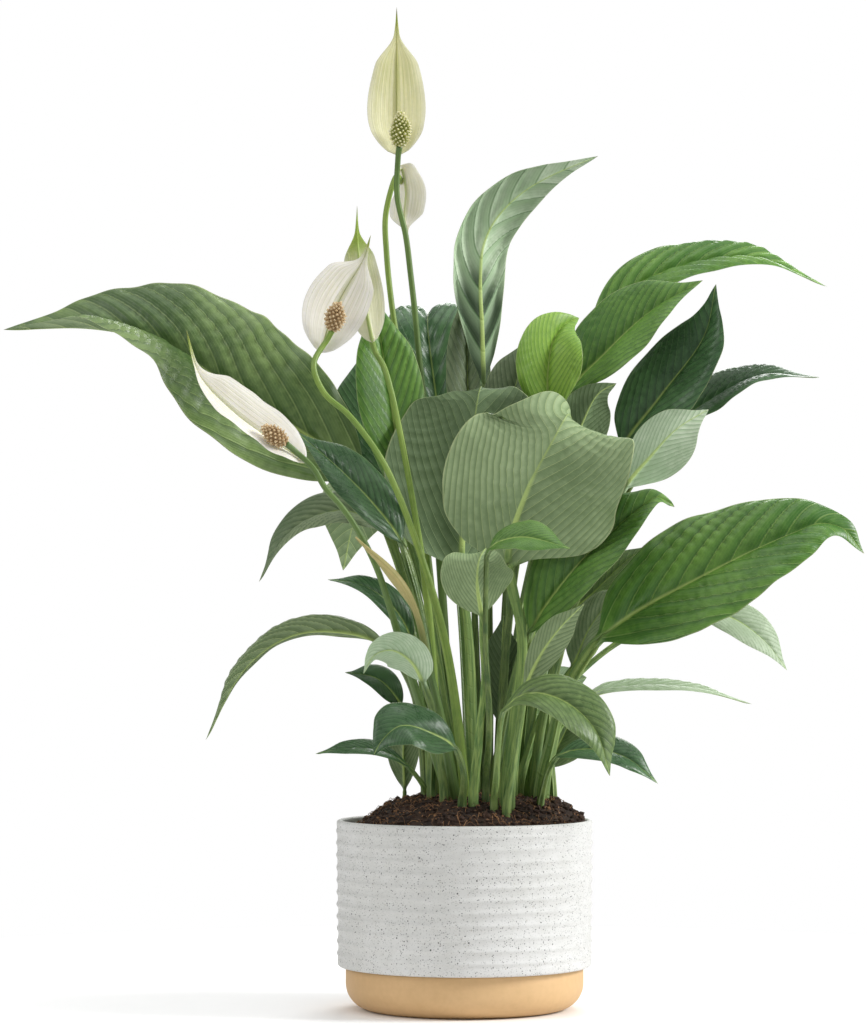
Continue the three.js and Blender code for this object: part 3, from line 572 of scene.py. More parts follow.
# A leaf or spathe. Its veins are veins_along of its length apart, its pillows and waves rise by
# quilt and wave, and a spathe also has a drawn-out tail and an inner side.
def blade_piece(
    name, materials, near, rooted, veins_along, quilt, wave,
    tail=0.0, inner=None, thick=LAMINA,
):
    rng = random.Random(name)
    curves, base, tip = leaf_curves(name, near, inner)
    if rooted:
        first_blade = STEM_RINGS
        curves = np.concatenate([curves[:1] - np.array([0, 0, SINK]), curves])
    else:
        first_blade = 0
        neck = base + NECK * (curves[0] - curves[0, 2:3])
        curves = np.concatenate([neck[None], curves])
    curves = np.concatenate([curves, np.repeat(tip[None, None], TIP_CURVES, axis=1)])
    steps = np.linalg.norm(np.diff(curves[:, 2], axis=0), axis=1)
    knots = np.concatenate([[0], np.cumsum(steps)])
    start, end = knots[first_blade], knots[-1]
    length = end - start
    blade_rows = int(min(150, max(50, length / ROW_SPACING)))
    at = start + length * LAST_ROW * np.linspace(0, 1, blade_rows) ** TIP_CROWDING
    if rooted:
        stem_rows = int(max(10, start / STEM_SPACING))
        at = np.concatenate([np.linspace(0, start, stem_rows, endpoint=False), at])
    rows = spline(knots, curves, at)
    share = np.clip((at - start) / length, 0, 1)
    fading = 1 - smooth(share, 0.0, STEM_END)
    if rooted:
        narrowed(rows, (0, 1, 3, 4, 5), 1 - STEM_SLIM * fading)
    if tail:
        narrowed(rows, (0, 1, 3, 4), 1 - tail * smooth(share, 0.62, 0.83))
    sheet = sheet_between(rows)
    normal = unit(np.cross(np.gradient(sheet, axis=1), np.gradient(sheet, axis=0)))
    facing = rows[:, 2] - rows[:, 5]
    if (normal[:, len(ACROSS) - 1] * facing).sum() < 0:
        normal = -normal
    signed = np.concatenate([-ACROSS[:0:-1], ACROSS])
    reach = np.abs(signed)
    half = np.stack([np.linalg.norm(rows[:, e] - rows[:, 2], axis=1) for e in (0, 4)], axis=1)
    width = np.where(signed[None, :] < 0, half[:, :1], half[:, 1:])
    x = np.abs(signed)[None, :] * width
    along = (at - start)[:, None]
    # Quilting between the veins, gone at the midrib, margin and both ends. Each pillow leans
    # towards the tip, so that its steep side makes the crisp line of the vein.
    spacing = length * veins_along
    origin = vein_start(x, along, float(half.max())) / spacing
    swell = np.sin(np.pi * (origin % 1.0) ** 0.8) ** 0.9
    room = smooth(reach, 0.02, 0.2) * (1 - smooth(reach, 0.8, 1.0))
    ends = smooth(share, 0.02, 0.15) * (1 - smooth(share, 0.8, 0.97))
    ample = smooth(width / float(half.max()), 0.2, 0.75)
    lift = quilt * spacing * swell * room[None, :] * ends[:, None] * ample
    # Waves of the margin, different on the two sides, and a slow flutter of the half blade.
    for side in (0, 1):
        turn = rng.uniform(0, 2 * math.pi)
        pitch = rng.uniform(48, 80) * MM
        sway = np.sin(2 * np.pi * along / pitch + turn)
        sway = sway + 0.45 * np.sin(2 * np.pi * along / (pitch * 0.43) + 2 * turn)
        mask = (signed < 0) if side == 0 else (signed > 0)
        swing = wave * width * (reach**3)[None, :] * sway * ends[:, None]
        lift = lift + np.where(mask[None, :], swing, 0)
    centre = sheet + normal * lift[..., None]
    # Thickness, keel and channel.
    keel = np.linalg.norm(rows[:, 5] - rows[:, 2], axis=1)[:, None]
    in_stem = (at < start)[:, None] if rooted else np.zeros((len(at), 1), bool)
    slim = (RIB_SLIM + (1 - RIB_SLIM) * fading)[:, None]
    rib = np.minimum(keel * slim, width)
    inside = np.sqrt(np.clip(1 - (x / rib) ** 2, 0, 1))
    soft = thick / 2 * (1 - reach[None, :] ** 6) * smooth(1 - share, 0.0, 0.05)[:, None]
    stemness = fading[:, None] if rooted else 0 * share[:, None]
    below = soft + (keel * 0.92) * inside
    channel = 0.3 + 0.62 * smooth(x / rib, 0.0, 0.62)
    above = soft + stemness * rib * channel * inside - (1 - stemness) * 0.12 * MM * inside
    rim = (reach == 1)[None, :]
    above = np.where(rim, 0, np.maximum(above, THINNEST))
    below = np.where(rim, 0, np.maximum(below, THINNEST))
    top = centre + normal * above[..., None]
    bottom = centre - normal * below[..., None]
    count, cols = top.shape[:2]
    # Upper side keeps both margins; the underside shares them.
    top_index = np.arange(count * cols).reshape(count, cols)
    inner_cols = cols - 2
    low_index = np.empty((count, cols), int)
    low_index[:, 1:-1] = count * cols + np.arange(count * inner_cols).reshape(count, inner_cols)
    low_index[:, 0] = top_index[:, 0]
    low_index[:, -1] = top_index[:, -1]
    points = np.concatenate([top.reshape(-1, 3), bottom[:, 1:-1].reshape(-1, 3)])
    foot_id = len(points)
    tip_id = foot_id + 1
    points = np.concatenate([points, rows[:1, 2], tip[None]])
    test = np.cross(top[1, 1] - top[0, 1], top[0, 2] - top[0, 1])
    flip = bool(np.dot(test, normal[0, 1]) > 0)
    upper_faces = quads(top_index, flip)
    lower_faces = quads(low_index, not flip)
    caps = []
    for row, pole, way in ((0, foot_id, False), (count - 1, tip_id, True)):
        loop = top_index[row].tolist() + low_index[row, -2:0:-1].tolist()
        for a, b in zip(loop, loop[1:] + loop[:1]):
            caps.append((pole, a, b) if way != flip else (pole, b, a))
    faces = upper_faces + lower_faces + caps
    kinds = [0] * len(upper_faces) + [1] * len(lower_faces) + [1] * len(caps)
    title = name.replace("leaf_", "grown_") if rooted else name + "_grown"
    piece = make_piece(title, points.tolist(), faces, materials, [name], kinds)
    # What the finishes read: place on the blade, share of stem, tone, and the vein map.
    shade = np.exp(-((x / (rib * 0.85)) ** 4)) * (0.95 - 0.45 * share[:, None])
    shade = np.where(in_stem, 1.0, shade)

    def on_points(*channels):
        grid = np.stack([np.broadcast_to(c, x.shape) for c in channels], axis=-1)
        both = [side.reshape(-1, len(channels)) for side in (grid, grid[:, 1:-1])]
        return np.concatenate([*both, grid[0, :1], grid[-1, :1]])

    marks = on_points(reach, share[:, None], shade)
    mesh = piece.data
    mesh.attributes.new("blade", "FLOAT_VECTOR", "POINT").data.foreach_set("vector", marks.ravel())
    tone = np.full(len(points), rng.uniform(0.25, 0.75))
    mesh.attributes.new("tone", "FLOAT", "POINT").data.foreach_set("value", tone)
    write_map(mesh, on_points(np.sign(signed)[None, :] * x, origin))


# %% [markdown]
# ## The leaves
# Each leaf names its two finishes. Where a leaf is turned, its underside shows. Young leaves
# are lime, old ones inside the plant are dark, partly from their own deeper green and partly
# from painted shade for the inside of the plant, and the outer ones hang and look greyer.

# %% Leaves
def pair(upper, under="leaf_under"):
    return finish_of[upper], finish_of[under]


usual = pair("leaf_upper")
# Partly the deeper green of old leaves and partly painted shade inside the plant.
dark = pair("leaf_upper_dark", "leaf_under_dark")
bright = pair("leaf_upper_bright")
lime = pair("leaf_upper_lime")
grey = pair("leaf_upper_grey")
faded = pair("leaf_upper_pale")
pale = pair("leaf_upper_bright", "leaf_under_pale")
# The twisted leaf's underside has painted shade in its fold.
twisted = pair("leaf_upper_bright", "leaf_under_folded")
LEAF_FINISHES = {
    "left_arching": usual, "left_tall_dark": dark, "left_upright": bright,
    "back_arching_over": dark, "back_curled": grey, "tall_twisted": twisted,
    "right_high": bright, "right_folded": bright, "lime_centre": lime,
    "centre_dark": grey, "right_glossy": dark, "right_narrow": dark, "right_pale": pale,
    "centre_large": usual, "centre_left_large": dark, "front_strip": bright,
    "front_pale_hood": grey, "right_big": bright,
    "right_pale_drooping": faded, "right_thin": faded, "right_grey_short": grey,
    "right_centre": bright, "right_slender": usual, "front_grey_under": usual,
    "front_right_arching": usual, "low_right": dark, "low_right_back": usual,
    "back_pale_round": pale, "left_drooping": grey, "left_glossy": dark,
    "left_small_dark": dark, "left_long_drooping": grey, "left_small_folded": pale,
    "left_small_back": dark, "front_left_drooping": dark, "low_left": dark,
    "back_left_sprout": lime, "behind_brown": dark, "inner_dark": dark,
    "back_left": usual, "back_right": usual,
}


# Share of a blade's length between two veins: a few great leaves are coarse.
VEIN_SHARE = {"right_big": 0.1, "left_arching": 0.085, "tall_twisted": 0.11, "right_high": 0.085}
USUAL_VEINS = 0.075
QUILT = 0.15
WAVE = 0.035
for short, finishes in LEAF_FINISHES.items():
    node = "leaf_" + short
    rough_foot = np.array([0.0, 0.0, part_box(node)[0][2]])
    spacing = VEIN_SHARE.get(short, USUAL_VEINS)
    blade_piece(node, finishes, rough_foot, True, spacing, QUILT, WAVE)
print("leaves grown:", len(LEAF_FINISHES))

# %% [markdown]
# ## Stalks
# A flower's stalk is a smooth round rod, thicker at the foot, yellow-green and finely
# streaked. Its solid has seventeen rings, whose middles and sizes are splined into a tube.
# A curve with a bevel would do as well, but a mesh tube lets the bud swell and twist too.

# %% Stalk finish
def stalk_material(name, light, dark_side, roughness, foot=None, ripe_from=0.0):
    material, tree, shader = new_material(name)
    vein_map = add_node(tree, "ShaderNodeUVMap", uv_map="vein_map").outputs[0]
    fibre = streaked(tree, vein_map, 1600.0, 14.0)
    cloud = mottled(tree, 22.0, 260.0, 0.3)
    mix = times_plus(tree, fibre, 0.5, times(tree, cloud, 0.5))
    colour = blend(tree, mix, dark_side, light)
    if foot:
        length = add_node(tree, "ShaderNodeSeparateXYZ", {0: vein_map}).outputs[1]
        ripe = step(tree, length, ripe_from, ripe_from + 0.06)
        colour = blend(tree, ripe, blend(tree, mix, foot[1], foot[0]), colour)
    wax = {"Coat Weight": 0.15, "Coat Roughness": 0.35}
    surface(tree, shader, colour, cloud, 0.15, roughness, wax)
    bump(tree, shader, fibre, 0.35, 0.0003)
    return material


FRESH = (tint(146, 170, 76), tint(90, 124, 44))
AGED = (tint(108, 136, 64), tint(66, 96, 40))
stalk_green = stalk_material("stalk", *FRESH, 0.38)
stalk_dark = stalk_material("stalk_dark", *AGED, 0.38)
bud_finish = stalk_material("bud", tint(196, 178, 120), tint(140, 140, 76), 0.45, AGED, 0.09)

# %% Stalks and bud
TUBE_SIDES = 20
ROD_SIDES = 6
TOP_SLIM = 0.78             # a stalk's top, as a share of its solid's radius


def rod_rings(node, near):
    points, _, rows = rings_of(node, ROD_SIDES, near)
    rings = points[np.array(rows[1:-1])]
    middles = rings.mean(axis=1)
    radii = np.linalg.norm(rings - middles[:, None], axis=2).mean(axis=1)
    return middles, radii, points[rows[-1][0]]


def tube(name, node, middles, radii, material, spacing=3 * MM, twist=0.0, crease=0.0):
    steps = np.linalg.norm(np.diff(middles, axis=0), axis=1)
    knots = np.concatenate([[0], np.cumsum(steps)])
    at = np.linspace(0, knots[-1], int(knots[-1] / spacing) + 8)
    way = spline(knots, middles, at)
    size = np.maximum(spline(knots, radii, at), 0.2 * MM)
    ahead = unit(np.gradient(way, axis=0))
    side = [unit(np.cross(ahead[0], [0.3, 1.0, 0.1]))]
    for t in ahead[1:]:
        side.append(unit(side[-1] - t * np.dot(side[-1], t)))
    side = np.array(side)
    other = np.cross(ahead, side)
    turn = np.linspace(0, 2 * np.pi, TUBE_SIDES, endpoint=False)
    angle = turn[None, :] + 0 * at[:, None]
    share = at / at[-1]
    swell = 1 + 0.03 * np.sin(3 * turn)[None, :] * np.ones(len(at))[:, None]
    if crease:
        lip = ((angle - twist * share[:, None] * 2 * np.pi) / (2 * np.pi)) % 1.0
        swell = swell + crease * (lip - 0.5) * smooth(share, 0.55, 0.75)[:, None]
    ring = side[:, None] * np.cos(angle)[..., None] + other[:, None] * np.sin(angle)[..., None]
    skin = way[:, None] + ring * (size[:, None] * swell)[..., None]
    points = np.concatenate([skin.reshape(-1, 3), way[:1], way[-1:]])
    faces = walls(0, len(at) - 1, TUBE_SIDES)
    faces += cap(len(points) - 2, 0, TUBE_SIDES, True)
    faces += cap(len(points) - 1, (len(at) - 1) * TUBE_SIDES, TUBE_SIDES)
    piece = make_piece(name, points.tolist(), faces, [material], [node])
    around = np.abs(turn - np.pi)[None, :] * size[:, None]
    place = np.stack([around, np.broadcast_to(at[:, None], angle.shape)], axis=-1)
    place = place.reshape(-1, 2)
    place = np.concatenate([place, place[:1], place[-1:]])
    write_map(piece.data, place)


STALK_FINISHES = {1: stalk_dark, 2: stalk_green, 3: stalk_green, 4: stalk_green, 5: stalk_dark}
stalk_tops = {}
for number, finish in STALK_FINISHES.items():
    node = f"flower_{number}_stalk"
    foot = np.array([0.0, 0.0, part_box(node)[0][2]])
    middles, radii, top = rod_rings(node, foot)
    stalk_tops[number] = top
    neck = rod_rings(f"flower_{number}_spadix", top)[0][0]
    middles = np.concatenate([middles[:1] - [0, 0, SINK], middles, neck[None]])
    radii = np.concatenate([radii[:1], radii, radii[-1:] * 1.15])
    radii = radii * np.linspace(1.0, TOP_SLIM, len(radii))
    tube(f"grown_stalk_{number}", node, middles, radii, finish)
foot = np.array([0.0, 0.0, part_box("flower_bud")[0][2]])
middles, radii, top = rod_rings("flower_bud", foot)
middles = np.concatenate([middles[:1] - [0, 0, SINK], middles])
radii = np.concatenate([radii[:1], radii])
tube("grown_bud", "flower_bud", middles, radii, bud_finish, 1.6 * MM, 2.2, 0.34)
print("stalk tops, m:", {n: [round(float(v), 3) for v in p] for n, p in stalk_tops.items()})

# %% [markdown]
# ## Spathes
# The white part of the flower is one curved leaf. It is thin enough for light to soften in
# it, its veins run lengthwise from the stalk to the tip, and its midrib and drawn-out tail
# stay green. The same rings and the same growing function as the leaves give its shape.

# %% Spathe finish
def spathe_material(name, light, shade, green, tail_from, dark_tail):
    material, tree, shader = new_material(name)
    marks = add_node(tree, "ShaderNodeAttribute", attribute_name="blade").outputs["Vector"]
    across, share, stem = add_node(tree, "ShaderNodeSeparateXYZ", {0: marks}).outputs[:]
    lanes = add_node(tree, "ShaderNodeCombineXYZ", {0: across, 1: share})
    fibre = streaked(tree, lanes.outputs[0], 11.0, 1.3)
    cloud = mottled(tree, 30.0, 420.0, 0.4)
    lane = maths(tree, "FRACT", times(tree, across, 7.0))
    near = maths(tree, "ABSOLUTE", maths(tree, "SUBTRACT", lane, 0.5))
    line = step(tree, near, 0.36, 0.5)
    upper_half = step(tree, share, 0.1, 0.6)
    colour = blend(tree, times(tree, cloud, 0.4), light, shade)
    for pattern, more, least, dye in ((fibre, 0.55, 0.25, shade), (line, 0.25, 0.1, green)):
        strength = times_plus(tree, upper_half, more, least)
        colour = blend(tree, times(tree, pattern, strength), colour, dye)
    # Green spreads from the midrib and takes the whole tail.
    core = maths(tree, "SUBTRACT", 1.0, step(tree, across, 0.0, 0.2))
    core = times(tree, core, step(tree, share, 0.05, 0.5))
    core = times(tree, core, 0.45)
    core = maths(tree, "MAXIMUM", times(tree, stem, 0.8), core)
    colour = blend(tree, core, colour, green)
    tail = times_plus(tree, cloud, 0.05, share)
    colour = blend(tree, step(tree, tail, tail_from, tail_from + 0.22), colour, green)
    colour = blend(tree, step(tree, tail, 0.93, 1.02), colour, dark_tail)
    thin = {"Subsurface Weight": 0.25, "Subsurface Radius": (0.004, 0.0035, 0.002)}
    thin["Subsurface Scale"] = 1.0
    surface(tree, shader, colour, cloud, 0.12, 0.5, thin)
    ridge = times_plus(tree, line, 0.7, times(tree, fibre, 0.5))
    bump(tree, shader, ridge, 0.4, 0.0005)
    return material


SPATHE_COLOURS = {
    # name: light, shade, green, where the tail's green starts, dark tail
    "spathe_cream": ((232, 228, 190), (196, 196, 142), (146, 162, 70), 0.74, (80, 78, 40)),
    "spathe_white": ((240, 236, 226), (212, 206, 190), (152, 168, 74), 0.76, (110, 118, 52)),
    "spathe_back": ((228, 224, 198), (194, 198, 154), (136, 162, 62), 0.56, (104, 118, 50)),
}
for name, (light, shade, green, start, dark_tail) in SPATHE_COLOURS.items():
    colours = (tint(*light), tint(*shade), tint(*green))
    finish_of[name] = spathe_material(name, *colours, start, tint(*dark_tail))

# %% Spathes
cream = pair("spathe_cream", "spathe_cream")
white = pair("spathe_white", "spathe_white")
two_sided = pair("spathe_white", "spathe_back")
turned_away = pair("spathe_back", "spathe_back")
SPATHE_FINISHES = {1: cream, 2: white, 3: two_sided, 4: turned_away, 5: two_sided}
for number, finishes in SPATHE_FINISHES.items():
    low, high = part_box(f"flower_{number}_spadix")
    inner = np.array([(a + b) / 2 for a, b in zip(low, high)])
    blade_piece(
        f"flower_{number}_spathe", finishes, stalk_tops[number], rooted=False,
        veins_along=0.2, quilt=0.01, wave=0.05, tail=0.72, inner=inner, thick=0.6 * MM,
    )
print("spathes grown:", len(SPATHE_FINISHES))

# %% [markdown]
# ## Spadices
# The club in the middle of the flower is packed with tiny flowers, each a low cushion with a
# blunt point. A smooth club with bumps painted on looks false at its outline, so every
# little flower is a real bump, set out on the club in the spiral that plants use. The white
# points and the tan cushions between them are two finishes.

# %% Spadix finish
def floret_material(name, light, deep, roughness):
    material, tree, shader = new_material(name)
    cloud = mottled(tree, 240.0, 1400.0, 0.5)
    soft = {"Subsurface Weight": 0.1, "Subsurface Radius": (0.001, 0.0008, 0.0005)}
    surface(tree, shader, blend(tree, cloud, deep, light), cloud, 0.15, roughness, soft)
    bump(tree, shader, cloud, 0.5, 0.0003)
    return material


club_green = floret_material("club_green", tint(176, 176, 92), tint(128, 138, 58), 0.6)
point_cream = floret_material("point_cream", tint(236, 232, 196), tint(206, 200, 140), 0.55)
club_tan = floret_material("club_tan", tint(196, 168, 124), tint(140, 108, 70), 0.7)
point_tan = floret_material("point_tan", tint(226, 208, 172), tint(186, 158, 114), 0.65)

# %% Spadices
GOLDEN = math.pi * (3 - math.sqrt(5))
young = (club_green, point_cream)
ripe = (club_tan, point_tan)
SPADIX_LOOK = {1: young, 2: young, 3: ripe, 4: young, 5: ripe}
CLUB_RINGS = 14
CLUB_TURNS = 16
CLUB_SLIM = 0.84            # the club under the flowers, as a share of its solid's radius
FLORET_SPACING = 2.5 * MM
# Rings of one little flower: width, height and finish, from its foot to its point.
FLORET = [
    (1.0, -0.3, 0), (0.95, 0.25, 0), (0.6, 0.55, 0),
    (0.42, 0.72, 1), (0.34, 0.95, 1), (0.16, 1.0, 1),
]
FLORET_SIDES = 6


def spadix_piece(number, club, point):
    node = f"flower_{number}_spadix"
    rng = random.Random(node)
    middles, radii, top = rod_rings(node, stalk_tops[number])
    base = middles[0]
    axis = unit(top - base)
    length = float(np.linalg.norm(top - base))
    side = unit(np.cross(axis, [0.2, 0.1, 1.0]))
    other = np.cross(axis, side)
    knots = np.linspace(0, 1, len(radii) + 1)
    sizes = np.concatenate([radii, [radii[-1] * 0.5]])
    rings, turns = CLUB_RINGS, CLUB_TURNS
    points = [base]
    for i in range(rings + 1):
        t = i / rings
        blunt = math.sqrt(max(0.05, 1 - max(0, t - 0.8) ** 2 * 20))
        radius = float(np.interp(t, knots, sizes)) * CLUB_SLIM * blunt
        for j in range(turns):
            a = 2 * math.pi * j / turns
            out = side * math.cos(a) + other * math.sin(a)
            points.append(base + axis * length * t * 0.97 + out * radius)
    points.append(base + axis * length)
    faces = cap(0, 1, turns, True) + walls(1, rings, turns)
    faces += cap(len(points) - 1, 1 + rings * turns, turns)
    kinds = [0] * len(faces)
    florets = int(length * 2 * math.pi * max(radii) / FLORET_SPACING**2)
    for n in range(florets):
        t = (n + 0.5) / florets
        a = n * GOLDEN
        radius = float(np.interp(t, knots, sizes)) * CLUB_SLIM
        out = side * math.cos(a) + other * math.sin(a)
        out = unit(out + axis * (t - 0.35) * 1.3)
        level = unit(out - axis * np.dot(out, axis))
        spot = base + axis * length * (0.02 + 0.94 * t) + level * radius
        u = unit(np.cross(out, axis))
        v = np.cross(out, u)
        size = rng.uniform(1.05, 1.4) * MM
        tall = rng.uniform(1.6, 2.7) * MM
        spin = rng.uniform(0, 2 * math.pi)
        first = len(points)
        for wide, rise, _ in FLORET:
            for j in range(FLORET_SIDES):
                b = spin + 2 * math.pi * j / FLORET_SIDES
                around = u * math.cos(b) + v * math.sin(b)
                points.append(spot + around * size * wide + out * tall * rise)
        points.append(spot + out * tall * 1.02)
        points.append(spot - out * tall * 0.3)
        steps = len(FLORET) - 1
        faces += walls(first, steps, FLORET_SIDES, True)
        faces += cap(len(points) - 2, first + steps * FLORET_SIDES, FLORET_SIDES, True)
        faces += cap(len(points) - 1, first, FLORET_SIDES)
        for kind in [kind for _, _, kind in FLORET[1:]] + [1, 0]:
            kinds += [kind] * FLORET_SIDES
    points = [tuple(float(c) for c in p) for p in points]
    make_piece(f"grown_spadix_{number}", points, faces, [club, point], [node], kinds)
    return florets


print("florets:", {n: spadix_piece(n, *look) for n, look in SPADIX_LOOK.items()})

# %% [markdown]
# ## The pot and its base
# The pot is thrown or cast round, so each part is a profile turned about the middle. The
# ribs are soft and not quite even, as a hand leaves them, so their height and place drift a
# little round the pot. Sizes come from the two solids' boxes.

# %% Turned shapes
def turned(name, profile, material, node, segments, wander=None):
    points = []
    for radius, z in profile:
        for j in range(segments):
            a = 2 * math.pi * j / segments
            r = radius + (wander(a, z, radius) if wander else 0)
            points.append((r * math.cos(a), r * math.sin(a), z))
    faces = walls(0, len(profile) - 1, segments)
    if profile[0] == profile[-1]:
        # The last ring is the first one again, so the wall runs back into it.
        points = points[:-segments]
        faces = [tuple(v % len(points) for v in face) for face in faces]
    else:
        points += [(0, 0, profile[0][1]), (0, 0, profile[-1][1])]
        faces += cap(len(points) - 2, 0, segments, True)
        faces += cap(len(points) - 1, (len(profile) - 1) * segments, segments)
    make_piece(name, points, faces, [material], [node])


def arc_points(x, z, radius, start, end, steps):
    spots = []
    for i in range(steps + 1):
        a = math.radians(start + (end - start) * i / steps)
        spots.append((x + radius * math.cos(a), z + radius * math.sin(a)))
    return spots


def ring_noise(angle, z, size, height):
    spot = Vector((math.cos(angle) * size, math.sin(angle) * size, z * height))
    return noise.noise(spot)


# %% [markdown]
# ## Pot finishes
# The pot's glaze is a matt white, sprinkled with iron specks of very different sizes: many
# pinpricks, fewer clear dots and a few blots. Each size is one use of the same speckle group
# with its own cell size and share. The base is bare, smooth clay.

# %% Group: speckles
speckles, given, put = new_group(
    "speckles",
    [("Cells", FLOAT, 300.0), ("Kept", FLOAT, 0.3), ("Radius", FLOAT, 0.2), ("Offset", FLOAT, 0.0)],
    [("Mask", FLOAT)],
)
WOBBLE = (0.0009, 0.0009, 0.0009)


def vector_maths(operation, first, second):
    links = {0: first, 1: second}
    return add_node(speckles, "ShaderNodeVectorMath", links, operation=operation).outputs[0]


place = add_node(speckles, "ShaderNodeTexCoord").outputs["Object"]
shifted = vector_maths("ADD", place, given["Offset"])
wobble = add_node(speckles, "ShaderNodeTexNoise", {"Vector": shifted, "Scale": 900.0})
bent = vector_maths("ADD", shifted, vector_maths("MULTIPLY", wobble.outputs["Color"], WOBBLE))
cells = add_node(speckles, "ShaderNodeTexVoronoi", {"Vector": bent, "Scale": given["Cells"]})
chance = add_node(speckles, "ShaderNodeSeparateColor", {0: cells.outputs["Color"]})
kept = maths(speckles, "LESS_THAN", chance.outputs[0], given["Kept"])
grown = times_plus(speckles, chance.outputs[1], 0.8, 0.5)
grown = times(speckles, given["Radius"], grown)
core = times(speckles, grown, 0.6)
dot = maths(speckles, "SUBTRACT", 1.0, step(speckles, cells.outputs["Distance"], core, grown))
speckles.links.new(times(speckles, dot, kept), put["Mask"])

# %% Pot materials
speckled, tree, shader = new_material("speckled_glaze")
cloud = mottled(tree, 9.0, 120.0, 0.35)
colour = blend(tree, cloud, tint(196, 196, 192), tint(212, 212, 210))
SPECKS = [
    # cells, share kept, radius in cells, offset, strength, colour
    (1300.0, 0.6, 0.36, 0.0, 0.4, tint(120, 122, 122)),
    (820.0, 0.55, 0.31, 3.1, 0.85, tint(56, 58, 60)),
    (420.0, 0.09, 0.22, 7.7, 0.95, tint(26, 27, 29)),
    (520.0, 0.14, 0.24, 5.2, 0.5, tint(140, 128, 108)),
]
pits = None
for cell, share, radius, offset, strength, shade in SPECKS:
    dots = use_group(tree, speckles, Cells=cell, Kept=share, Radius=radius, Offset=offset)
    mask = dots["Mask"]
    colour = blend(tree, times(tree, mask, strength), colour, shade)
    pits = mask if pits is None else maths(tree, "MAXIMUM", pits, mask)
surface(tree, shader, colour, cloud, 0.14, 0.52)
grain = noise_at(tree, 700.0, 3.0)
bump(tree, shader, times_plus(tree, pits, -0.6, grain), 0.35, 0.0003)

clay, tree, shader = new_material("clay_base")
cloud = mottled(tree, 11.0, 240.0, 0.3)
dust = use_group(tree, speckles, Cells=420.0, Kept=0.1, Radius=0.2, Offset=2.3)["Mask"]
colour = blend(tree, cloud, tint(196, 160, 112), tint(212, 176, 128))
colour = blend(tree, times(tree, dust, 0.25), colour, tint(176, 138, 98))
surface(tree, shader, colour, cloud, 0.1, 0.55)
bump(tree, shader, noise_at(tree, 520.0, 4.0), 0.22, 0.0003)
print("pot finishes ready")

# %% Pot sleeve
sleeve_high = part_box("pot_sleeve")[1]
base_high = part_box("pot_base")[1]
POT_RADIUS = sleeve_high[0] - 0.65 * MM     # the box also holds the ribs' crests
RIM_Z = sleeve_high[2]
BASE_RADIUS = base_high[0]
BASE_TOP = base_high[2]
WALL = 3.5 * MM
FLOOR = 3.5 * MM
FIT = 0.3 * MM
TAPER = 0.7 * MM
RIBS = 11
RIB_PITCH = 7.85 * MM
RIB_HEIGHT = 0.95 * MM
PLAIN_BAND = 7 * MM
LOWER_EDGE = 2 * MM
DRAIN = 6 * MM              # radius of the hole in the pot's floor
FOOT_RING = 8 * MM          # width of the pot's underside, outside its hollow
pot_bottom = BASE_TOP + FIT
lower_radius = POT_RADIUS - TAPER
top_crest = RIM_Z - PLAIN_BAND
first_rib = top_crest - (RIBS - 0.5) * RIB_PITCH
last_rib = top_crest + 0.5 * RIB_PITCH
pot_inner = POT_RADIUS - TAPER - WALL


def rib_lift(z, drift=0.0):
    if not first_rib < z < last_rib:
        return 0.0
    turn = (z + drift - top_crest) / RIB_PITCH
    crest = ((1 + math.cos(2 * math.pi * turn)) / 2) ** 2.2
    soft = min(1.0, (z - first_rib) / (2 * MM), (last_rib - z) / (2 * MM))
    return RIB_HEIGHT * (crest - 0.5) * soft


def pot_wander(angle, z, radius):
    if radius < pot_inner + 0.6 * WALL or z < pot_bottom + LOWER_EDGE:
        return 0.0
    drift = 0.3 * MM * ring_noise(angle, z, 1.3, 30)
    strength = 1 + 0.5 * ring_noise(angle, z, 1.6, 40)
    return rib_lift(z, drift) * strength + 0.12 * MM * ring_noise(angle, z, 2.0, 25)


profile = arc_points(lower_radius - LOWER_EDGE, pot_bottom + LOWER_EDGE, LOWER_EDGE, -90, 0, 8)
rows = int((RIM_Z - WALL / 2 - profile[-1][1]) / (0.75 * MM))
lowest = profile[-1][1]
for i in range(1, rows):
    z = lowest + (RIM_Z - WALL / 2 - lowest) * i / rows
    profile.append((lower_radius + TAPER * (z - lowest) / (RIM_Z - lowest), z))
rim_middle = (POT_RADIUS + pot_inner) / 2
half_wall = (POT_RADIUS - pot_inner) / 2
for r, z in arc_points(0, 0, 1.0, 0, 180, 12):
    profile.append((rim_middle + half_wall * r, RIM_Z - WALL / 2 + WALL / 2 * z))
profile += [(pot_inner, RIM_Z - 12 * MM), (pot_inner, pot_bottom + FLOOR)]
profile += [(DRAIN, pot_bottom + FLOOR), (DRAIN, pot_bottom)]
profile += [(profile[0][0] - FOOT_RING, pot_bottom), profile[0]]
turned("turned_pot", profile, speckled, "pot_sleeve", 300, pot_wander)

# %% Clay base
BASE_FILLET = 17 * MM
fillet_middle = BASE_RADIUS - BASE_FILLET
profile = [(0.02, 0.0)] + arc_points(fillet_middle, BASE_FILLET, BASE_FILLET, -90, 0, 24)
profile += [(BASE_RADIUS, BASE_TOP - 1 * MM), (BASE_RADIUS - 0.3 * MM, BASE_TOP - 0.3 * MM)]
profile += [(BASE_RADIUS - 1 * MM, BASE_TOP), (BASE_RADIUS - WALL, BASE_TOP)]
profile += arc_points(fillet_middle, BASE_FILLET, BASE_FILLET - WALL, 0, -90, 10)
profile += [(0.02, WALL)]
turned("turned_base", profile, clay, "pot_base", 200)
print("pot radius, rim and base top, m:", POT_RADIUS, RIM_Z, BASE_TOP)

# %% [markdown]
# ## Potting mix
# The mix is dark peat and coir, mounded round the stems. One noisy skin is never enough for
# loose stuff, because its outline stays smooth. So the skin is lumpy, and hundreds of crumbs
# and short fibres are strewn over it, all as real shapes drawn from one seeded generator.

